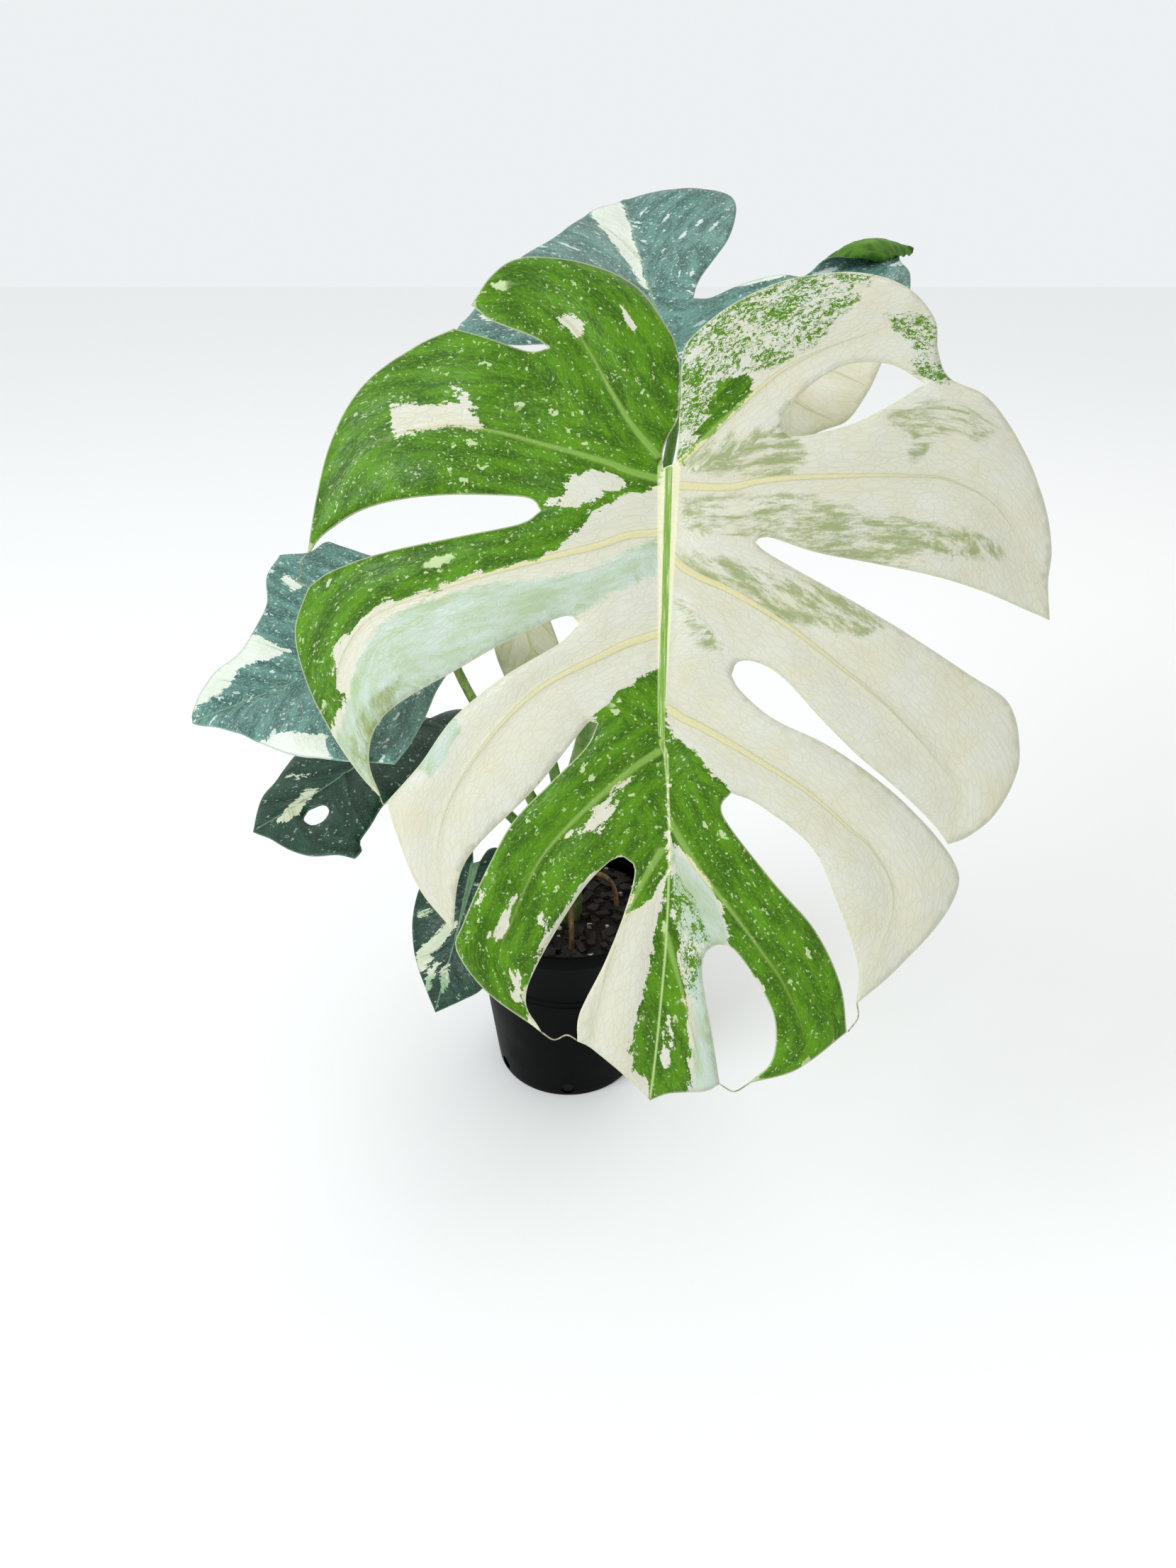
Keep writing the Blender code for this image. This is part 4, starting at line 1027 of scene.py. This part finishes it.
def shapeBlade(name, leaf, flat, measured, lengths, marginGap, size):
    # the height of each point over the flat blade, and how far inside each vein it lies, in mm
    nearest = np.min([m[0] for m in measured], axis=0)
    cordRise = np.zeros(len(flat))
    cord = np.full(len(flat), -50.0)
    wide = 0.45 + 0.55 * size
    for m, total in zip(measured[1:], lengths[1:]):
        taper = 1 - np.clip(m[1] / total, 0, 1)
        ridge = np.exp(-(m[0] / (0.9 + 0.8 * taper)) ** 2) - 0.3 * np.exp(-((m[0] - 3.6) / 1.6) ** 2)
        cordRise = np.where(m[0] < 6, np.maximum(cordRise, (0.06 + 0.94 * taper) * ridge), cordRise)
        cord = np.maximum(cord, (-1.0 + 2.8 * taper) * wide - m[0])
    along = np.clip(measured[0][1] / lengths[0], 0, 1)
    ribTaper = 1 - 0.75 * along
    ribRise = ribTaper * np.exp(-(measured[0][0] / (3.2 * ribTaper)) ** 2)
    rib = (0.5 + 5.4 * np.clip(1 - along / 0.5, 0, 1)) * wide - measured[0][0]
    core = 1.9 * np.clip((0.48 - along) / 0.1, -1, 1) * wide - measured[0][0]
    quilt = plant["quilting"] * (0.4 + 0.6 * size) * (1 - np.exp(-(nearest / 11) ** 2))
    # long waves of 55 mm and short ones of 14 mm, both still along the veins
    sway = np.array([noise.noise(Vector((px / 55, py / 55, len(name)))) for px, py in flat]) * 3.0 * size
    sway += np.array([noise.noise(Vector((px / 14, py / 14, 9))) for px, py in flat]) * 0.5
    z = broadRelief(leaf, flat[:, 0], flat[:, 1])
    z = z + quilt * (0.55 + 0.45 * np.clip(marginGap / 12, 0, 1))
    z += sway * np.clip(nearest / 10, 0, 1) + plant["cordHeight"] * cordRise + 1.3 * ribRise
    z -= 0.7 * np.exp(-marginGap / 2.5)  # the margin turns down a little
    return z, dict(cord=cord, rib=rib, core=core)


def rollUp(x, y, z, start, end, widest):
    # a lobe's end that rolls back over itself: what lies beyond the line from start to end winds up
    start = np.array(start, float)
    ahead = np.array(end, float) - start
    length = np.linalg.norm(ahead)
    ahead /= length
    normal = np.array([-ahead[1], ahead[0]])
    flat = np.stack([x, y], axis=1) - start
    beyond, beside = flat @ normal, flat @ ahead
    share = np.clip(beside / length, 0, 1)
    radius = widest * (0.3 + 0.7 * np.sin(math.pi * share ** 1.1))
    rolled = (beyond > 0) & (beyond < 45) & (beside > 0)
    turn = beyond / radius
    shift = radius * np.sin(turn) - beyond
    return (np.where(rolled, x + normal[0] * shift, x), np.where(rolled, y + normal[1] * shift, y),
            np.where(rolled, z + radius * (1 - np.cos(turn)), z))


def underRoute(leaf, line, drops):
    # points under the flat blade's large shape, each its own drop below it, in mm
    right, base, out = [np.array(v) for v in bladeAxes(leaf)]
    found = []
    for (px, py), drop in zip(line, drops):
        pz = float(broadRelief(leaf, np.array([px]), np.array([py]))[0])
        found.append(Vector(np.array(leafOrigin(leaf)) + mm * (px * right + py * base + (pz - drop) * out)))
    return found


# Thin dry threads on the margins of the front leaf, in its millimetres.
threads = [
    [(-199, -46), (-203, -50), (-202, -57), (-205, -61), (-198, -64)],
    [(-153, -180), (-151, -184), (-149, -182)],
    [(-61, -307), (-54, -311), (-47, -308), (-41, -311)],
    [(38, -333), (46, -337), (54, -332)],
    [(111, -285), (112, -293), (107, -301)],
]


def ribsAndThreads(name, leaf, loops, veinLines, size):
    # the ribs under the blade, as material 2, and the front leaf's dry threads, as material 3
    found = []
    for i, line in enumerate(veinLines):
        if i == 0:
            line = line[line[:, 1] < -4]
        big = plant["ribRadius"] * (0.35 + 0.65 * size) * (1.0 if i == 0 else 0.42)
        line = line[marginOf(line, loops[:1]) > 2.5]
        if len(line) < 4:
            continue
        radii = big * (1 - 0.78 * np.linspace(0, 1, len(line)))
        found.append((*sweep(underRoute(leaf, line, 0.5 + radii / mm * 0.35), radii, 8), 2))
    if name == "front":
        for thread in threads:
            line = curveThrough(thread, 1.6) + [np.array(thread[-1], float)]
            route = underRoute(leaf, line, [0.3] * len(line))
            found.append((*sweep(route, [plant["threadRadius"]] * len(route), 6), 3))
    return found


def layOut(mesh, flat, triangles, rimFaces, veinLines):
    # one layout for the flat blade and one that runs along the side veins
    longer = []
    for line in veinLines[1:]:
        start, end = line[0] - line[1], line[-1] - line[-2]
        longer.append(np.vstack([line[0] + start / np.linalg.norm(start) * 90, line,
                                 line[-1] + end / np.linalg.norm(end) * 120]))
    runs = np.array([toLine(flat, line) for line in longer])
    middle = flat[triangles].mean(axis=1)
    owner = np.array([toLine(middle, line)[0] for line in veinLines[1:]]).argmin(axis=0)
    loops = np.empty(len(mesh.loops), np.int32)
    mesh.loops.foreach_get("vertex_index", loops)
    owners = np.concatenate([np.repeat(owner, 3), np.repeat(owner, 3)])
    plainUv, flowUv = np.zeros((len(loops), 2)), np.zeros((len(loops), 2))
    skinLoops = len(owners)
    index = loops[:skinLoops] % len(flat)
    plainUv[:skinLoops] = flat[index] / 100
    flowUv[:skinLoops, 0] = runs[owners, 1, index] / 100 + owners * 7.3
    flowUv[:skinLoops, 1] = runs[owners, 2, index] / 100
    rim = np.arange(skinLoops, skinLoops + 4 * rimFaces)
    plainUv[rim] = flat[loops[rim] % len(flat)] / 100
    flowUv[rim] = plainUv[rim]
    for key, values in (("leaf", plainUv), ("flow", flowUv)):
        layer = mesh.uv_layers.new(name=key)
        layer.data.foreach_set("uv", values.astype(np.float32).ravel())


def addBlade(name, leaf, kind):
    # a thin leaf with both its skins, its ribs and what its colours need
    loops = [loopOf(stretches, 3.0) for stretches in [leaf["edge"]] + leaf["holes"]]
    veinLines = [np.array(curveThrough(v, 3.4) + [np.array(v[-1], float)]) for v in veins[name]]
    flat, triangles = layNet(leaf, loops, veinLines)
    size = float(np.ptp(loops[0][:, 1])) / 450  # about 1 for the front leaf
    measured = [toLine(flat, line) for line in veinLines]
    lengths = [float(np.linalg.norm(np.diff(line, axis=0), axis=1).sum()) for line in veinLines]
    marginGap = marginOf(flat, loops)
    z, fields = shapeBlade(name, leaf, flat, measured, lengths, marginGap, size)
    x, y = flat[:, 0], flat[:, 1]
    for start, end, widest in leaf.get("rolls", ()):
        x, y, z = rollUp(x, y, z, start, end, widest)

    # the upper and the under skin, and the rim that closes them
    right, base, out = [np.array(v) for v in bladeAxes(leaf)]
    top = np.array(leafOrigin(leaf)) + mm * (x[:, None] * right + y[:, None] * base + z[:, None] * out)
    corner = top[triangles]
    normals = np.cross(corner[:, 1] - corner[:, 0], corner[:, 2] - corner[:, 0])
    if (normals @ out).sum() < 0:
        triangles = triangles[:, ::-1]
        normals = -normals
    normal = np.zeros_like(top)
    for k in range(3):
        np.add.at(normal, triangles[:, k], normals)
    normal /= np.maximum(np.linalg.norm(normal, axis=1), 1e-12)[:, None]
    under = top - normal * plant["bladeThickness"]
    count = len(top)
    ends = np.concatenate([triangles[:, [0, 1]], triangles[:, [1, 2]], triangles[:, [2, 0]]])
    known = {tuple(e) for e in ends.tolist()}
    border = [e for e in known if (e[1], e[0]) not in known]
    faces = [tuple(t) for t in triangles.tolist()]
    faces += [(c + count, b + count, a + count) for a, b, c in triangles.tolist()]
    faces += [(b, a, a + count, b + count) for a, b in border]
    which = [0] * len(triangles) + [1] * len(triangles) + [0] * len(border)
    verts = [tuple(v) for v in top] + [tuple(v) for v in under]
    for moreVerts, moreFaces, material in ribsAndThreads(name, leaf, loops, veinLines, size):
        first = len(verts)
        verts += [tuple(v) for v in moreVerts]
        faces += [tuple(first + k for k in f) for f in moreFaces]
        which += [material] * len(moreFaces)
    piece = makePiece("leaf" + name.title().replace("_", ""), verts, faces,
                      [skins[kind], underside[kind], ribSkin, threadSkin], which)

    # how far inside each patch of colour each point lies, in mm
    colours = patches[name]
    fields["green"] = np.minimum(reach(flat, colours["green"]), -reach(flat, colours["pale"]))
    fields["edge"] = marginGap
    for key in ("mint", "marble", "wash"):
        fields[key] = reach(flat, colours[key])
    for key, values in fields.items():
        data = piece.data.attributes.new(key, "FLOAT", "POINT")
        values = np.concatenate([values, values, np.zeros(len(verts) - 2 * count)])
        data.data.foreach_set("value", values.astype(np.float32))
    layOut(piece.data, flat, triangles, len(border), veinLines)
    return piece


stemLook = dict(radius=0.0125, height=0.130, planted=0.050,
                nodes=(0.016, 0.034, 0.058, 0.076, 0.092, 0.110))


def addStalk(name, leaf):
    # a bowed stalk, thick where it leaves the stem
    spec = leaf["stalk"]
    _, base, out = bladeAxes(leaf)
    angle = math.radians(spec["angle"])
    side = Vector((math.cos(angle), math.sin(angle), 0))
    up = Vector((0, 0, 1))
    start = side * (0.4 * stemLook["radius"]) + up * (soilTop + spec["height"])
    rise = float(broadRelief(leaf, np.array([0.0]), np.array([-7.0]))[0])
    end = leafOrigin(leaf) + mm * (-7 * base + rise * out) - out * 0.0012
    turn = end - out * 0.006
    reachOut = (turn - start).length
    first = start + (side * 0.35 + up).normalized() * reachOut * spec["lift"]
    last = turn - (out * 0.75 + up * 0.65).normalized() * reachOut * spec["back"] * 2
    points = bezier(start, first, last, turn, plant["stalkRings"]) + [end]
    narrow = spec["endRadius"]
    wide = plant["stalkBase"] * (0.6 + 0.4 * narrow / 0.0042)
    radii = []
    for i in range(len(points)):
        share = i / (len(points) - 1)
        radius = narrow + (wide - narrow) * (1 - share) ** 2.2
        # the swollen joint just under the blade
        radius *= 1 + 0.16 * math.exp(-((share - 0.94) / 0.035) ** 2)
        radii.append(radius * (1 + 0.02 * math.sin(i * 1.7)))
    return addTube("stalk" + name.title().replace("_", ""), points, radii, plant["stalkSides"], stalkSkin)


# lower_left and small take the dark look's darker copy, which paints the shade they lie in
leafKinds = dict(front="variegated", back="dark", left="dark", lower_left="darkPaintedShade", small="darkPaintedShade",
                 middle="pale", right_back="pale")
for leafName, leafSpec in leaves.items():
    blade = addBlade(leafName, leafSpec, leafKinds[leafName])
    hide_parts("leaf_" + leafName)
    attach(blade, "root")
    stalk = addStalk(leafName, leafSpec)
    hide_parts("stalk_" + leafName)
    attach(stalk, "root")
    print("leaf made:", leafName, len(blade.data.polygons))


def addStem():
    # a blunt stem with a ring scar where each leaf's base wraps it
    points, radii = [], []
    bottom = -stemLook["planted"]
    for i in range(121):
        h = bottom + (stemLook["height"] - bottom) * i / 120
        radius = stemLook["radius"]
        for scar in stemLook["nodes"]:
            above = h - scar
            ring, dip = math.exp(-(above / 0.0022) ** 2), math.exp(-((above - 0.004) / 0.002) ** 2)
            radius *= 1 + 0.06 * ring - 0.03 * dip
        radius *= 1 - 0.55 * max(0.0, (h - stemLook["height"] + 0.010) / 0.010) ** 2
        points.append(Vector((0, 0, soilTop + h)))
        radii.append(radius)
    piece = addTube("stem", points, radii, 40, stemSkin)
    for vertex in piece.data.vertices:
        swell = 1 + noise.noise(vertex.co * 90) * 0.0006 / stemLook["radius"]
        vertex.co.x *= swell
        vertex.co.y *= swell
    return piece


roots = {
    "front": dict(height=0.050, angle=275.0, landing=0.048),
    "left": dict(height=0.034, angle=150.0, landing=0.036),
    "right": dict(height=0.042, angle=10.0, landing=0.042),
}
rootLook = dict(radius=0.0021, rings=26, sides=10)


def addRoot(name, root):
    # an aerial root that arches from the stem down into the soil
    angle = math.radians(root["angle"])
    side = Vector((math.cos(angle), math.sin(angle), 0))
    up = Vector((0, 0, 1))
    start = side * (0.5 * stemLook["radius"]) + up * (soilTop + root["height"])
    end = side * root["landing"] + up * (soilTop - 0.001)
    turn = end + up * rootLook["radius"] * 2
    points = bezier(start, start + side * root["landing"] * 0.7, turn + up * root["height"] * 0.5, turn,
                    rootLook["rings"]) + [end]
    radii = [rootLook["radius"] * (1 + 0.10 * noise.noise(p * 160)) for p in points]
    return addTube("root" + name.title(), points, radii, rootLook["sides"], rootSkin)


stem = addStem()
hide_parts("stem")
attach(stem, "root")
for rootName, rootSpec in roots.items():
    rootPiece = addRoot(rootName, rootSpec)
    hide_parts("root_" + rootName)
    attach(rootPiece, "root")
print("stem and roots made")


# The soil fills the pot, so the pot's sizes stand here too.
soilLook = dict(bumps=0.0035, chips=230, perlite=24, segments=96)
potLook = dict(height=0.170, rim=0.0825, base=0.062, wall=0.0016, floor=0.0022, band=0.012,
               bandDepth=0.0026, segments=120, holes=6, holeRadius=0.006)


boxCorners = [(x, y, z) for z in (-1, 1) for x, y in ((-1, -1), (1, -1), (1, 1), (-1, 1))]
boxFaces = [(0, 3, 2, 1), (4, 5, 6, 7), (0, 1, 5, 4), (1, 2, 6, 5), (2, 3, 7, 6), (3, 0, 4, 7)]


def addSoil():
    # a bumpy top, ring by ring round the stem's hollow, strewn with bark chips and perlite
    rng = random.Random(plant["seed"] + 1)
    segments = soilLook["segments"]
    outer = (soilBox[1][0] - soilBox[0][0]) / 2
    bottomZ = soilBox[0][2]
    taper = (potLook["rim"] - potLook["bandDepth"] - potLook["base"]) / potLook["height"]
    lowRadius = outer - taper * (soilTop - bottomZ)
    hole = stemLook["radius"] + 0.0006
    profile = [(0.0008, soilTop - stemLook["planted"] - 0.0006),
               (hole, soilTop - stemLook["planted"] - 0.0006)]
    topRings = 26
    for i in range(topRings + 1):
        profile.append((hole + (outer - hole) * i / topRings, soilTop))
    profile += [(lowRadius, bottomZ), (0.0008, bottomZ)]
    verts, faces = [], []
    for r, z in profile:
        for k in range(segments):
            turn = 2 * math.pi * k / segments
            x, y = r * math.cos(turn), r * math.sin(turn)
            lift = 0.0
            if z == soilTop:
                lift = noise.noise(Vector((x, y, 0)) * 70) + 0.5 * noise.noise(Vector((x, y, 3)) * 220)
                lift *= soilLook["bumps"]
                lift *= min(1.0, (outer - r) / 0.004)
            verts.append((x, y, z + lift))
    for i in range(len(profile) - 1):
        for k in range(segments):
            n = (k + 1) % segments
            faces.append((i * segments + k, (i + 1) * segments + k, (i + 1) * segments + n,
                          i * segments + n))
    faces.append(tuple(range(segments)))
    faces.append(tuple(reversed(range((len(profile) - 1) * segments, len(profile) * segments))))
    which = [0] * len(faces)

    def scatter():
        while True:
            x, y = rng.uniform(-outer, outer), rng.uniform(-outer, outer)
            if stemLook["radius"] + 0.004 < math.hypot(x, y) < outer - 0.006:
                return x, y

    for number in range(soilLook["chips"] + soilLook["perlite"]):
        chip = number < soilLook["chips"]
        x, y = scatter()
        if chip:
            long = rng.uniform(0.003, 0.008)
            half = (long, long * rng.uniform(0.4, 0.75), long * rng.uniform(0.2, 0.4))
        else:
            half = (rng.uniform(0.0012, 0.0026),) * 3
        tilt, turn = rng.uniform(-0.4, 0.4), rng.uniform(0, 2 * math.pi)
        first = len(verts)
        for sx, sy, sz in boxCorners:
            a = sx * half[0] * rng.uniform(0.6, 1)
            b = sy * half[1] * rng.uniform(0.6, 1)
            c = sz * half[2] * rng.uniform(0.6, 1)
            c += a * math.sin(tilt)
            verts.append((x + a * math.cos(turn) - b * math.sin(turn),
                          y + a * math.sin(turn) + b * math.cos(turn), soilTop + c + half[2] * 0.8))
        for f in boxFaces:
            faces.append(tuple(first + k for k in f))
            which.append(1 if chip else 2)
    return makePiece("soil", verts, faces, [soilSkin, chipSkin, perliteSkin], which)


soil = addSoil()
onlyThis(soil)
bpy.ops.object.shade_smooth_by_angle(angle=math.radians(40))
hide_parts("soil")
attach(soil, "root")
print("soil made", len(soil.data.polygons))


def addPot():
    # drawn out ring by ring from the middle of its floor, inside and then outside
    p = potLook
    taper = (p["rim"] - p["bandDepth"] - p["base"]) / p["height"]
    wallTop = p["rim"] - p["bandDepth"]
    foot = p["height"] - p["band"]
    rings = [(p["base"] - p["wall"] - 0.002, p["floor"]),
             (p["base"] - p["wall"] - 0.0004, p["floor"] + 0.0006),
             (p["base"] - p["wall"] + 0.0001, p["floor"] + 0.0020),
             (wallTop - p["wall"] - taper * p["band"], foot),
             (wallTop - p["wall"] + 0.0008, foot + 0.0008), (wallTop - p["wall"] + 0.0010, foot + 0.0016),
             (wallTop - p["wall"] + 0.0010, p["height"] - 0.0008),
             (wallTop - p["wall"] + 0.0013, p["height"] - 0.0002),
             (wallTop - p["wall"] + 0.0018, p["height"]), (p["rim"] - 0.0008, p["height"]),
             (p["rim"] - 0.0002, p["height"] - 0.0002), (p["rim"], p["height"] - 0.0008),
             (p["rim"] - 0.0006, foot + 0.0004), (p["rim"] - 0.0011, foot),
             (wallTop - taper * p["band"] + 0.0002, foot - 0.0003),
             (wallTop - taper * (p["band"] + 0.001), foot - 0.001)]
    for low in (0.118, 0.112):
        rings += [(p["base"] + taper * low + 0.0001, low),
                  (p["base"] + taper * low + 0.0007, low - 0.0006),
                  (p["base"] + taper * low - 0.0001, low - 0.0014)]
    rings += [(p["base"] + taper * 0.006, 0.006), (p["base"], 0.0016), (p["base"] - 0.0006, 0.0003),
              (p["base"] - 0.0016, 0.0), (p["base"] - 0.005, 0.0), (p["base"] - 0.006, 0.0008)]
    bpy.ops.object.select_all(action="DESELECT")
    bpy.ops.mesh.primitive_circle_add(vertices=p["segments"], radius=rings[0][0], fill_type="NGON",
                                      location=(0, 0, 0))
    piece = bpy.context.object
    bpy.ops.object.mode_set(mode="EDIT")
    bpy.ops.mesh.select_all(action="SELECT")
    bpy.ops.transform.translate(value=(0, 0, rings[0][1]))
    bpy.ops.mesh.select_mode(type="EDGE")
    last = rings[0]
    for ring in rings[1:]:
        if last is rings[0]:
            bpy.ops.mesh.region_to_loop()
        bpy.ops.mesh.extrude_edges_move(TRANSFORM_OT_translate=dict(value=(0, 0, ring[1] - last[1])))
        bpy.ops.transform.resize(value=(ring[0] / last[0], ring[0] / last[0], 1))
        last = ring
    bpy.ops.mesh.edge_face_add()
    bpy.ops.mesh.select_all(action="SELECT")
    bpy.ops.mesh.normals_make_consistent(inside=False)
    bpy.ops.object.mode_set(mode="OBJECT")
    piece.name = "pot"
    piece.data.materials.append(potPlastic())
    for i in range(p["holes"]):
        angle = 2 * math.pi * (i + 0.5) / p["holes"]
        middle = p["base"] - 0.5 * p["wall"]
        bpy.ops.mesh.primitive_cylinder_add(vertices=32, radius=p["holeRadius"], depth=0.012,
                                            rotation=(0, math.pi / 2, angle),
                                            location=(middle * math.cos(angle), middle * math.sin(angle),
                                                      p["floor"] + 1.15 * p["holeRadius"]))
        cutter = bpy.context.object
        onlyThis(piece)
        cut = piece.modifiers.new("drain", "BOOLEAN")
        cut.operation = "DIFFERENCE"
        cut.object = cutter
        bpy.ops.object.modifier_apply(modifier="drain")
        bpy.data.objects.remove(cutter)
    onlyThis(piece)
    bpy.ops.object.shade_smooth_by_angle(angle=math.radians(34))
    return piece


pot = addPot()
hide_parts("pot")
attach(pot, "root")
print("pot made", len(pot.data.polygons))


# a matte painted studio floor
floorMaterial, _, floorShader = startMaterial("plainFloor", 0.8)
floorShader.inputs["Base Color"].default_value = colour("#F7F7F5")
bpy.ops.object.select_all(action="DESELECT")
bpy.ops.mesh.primitive_plane_add(size=8, location=(0, 0, 0))
floor = bpy.context.object
floor.name = "floor"
floor.data.materials.append(floorMaterial)

world = bpy.data.worlds.new("studio")
bpy.context.scene.world = world
world.use_nodes = True
world.node_tree.nodes["Background"].inputs[0].default_value = colour("#F3F6F8")
world.node_tree.nodes["Background"].inputs[1].default_value = 0.95


def addLamp(name, place, aim, size, power, tint):
    lamp = bpy.data.lights.new(name, "AREA")
    lamp.shape = "DISK"
    lamp.size = size
    lamp.energy = power
    lamp.color = colour(tint)[:3]
    holder = bpy.data.objects.new(name, lamp)
    bpy.context.scene.collection.objects.link(holder)
    holder.location = place
    holder.rotation_euler = (Vector(aim) - Vector(place)).to_track_quat("-Z", "Y").to_euler()


addLamp("skylight", (-1.7, -1.2, 1.9), (0, -0.1, 0.4), 1.2, 32, "#F1F7FF")
addLamp("back", (0.8, 1.2, 2.0), (0, 0, 0.4), 1.2, 5, "#FFF9F0")

camera = bpy.data.cameras.new("camera")
camera.lens = 27.04
camera.sensor_width = 36
viewer = bpy.data.objects.new("camera", camera)
bpy.context.scene.collection.objects.link(viewer)
viewer.location = (0.0174, -0.7815, 0.7667)
viewer.rotation_euler = (math.radians(58), 0, 0)
bpy.context.scene.camera = viewer
bpy.context.scene.view_settings.view_transform = "Standard"
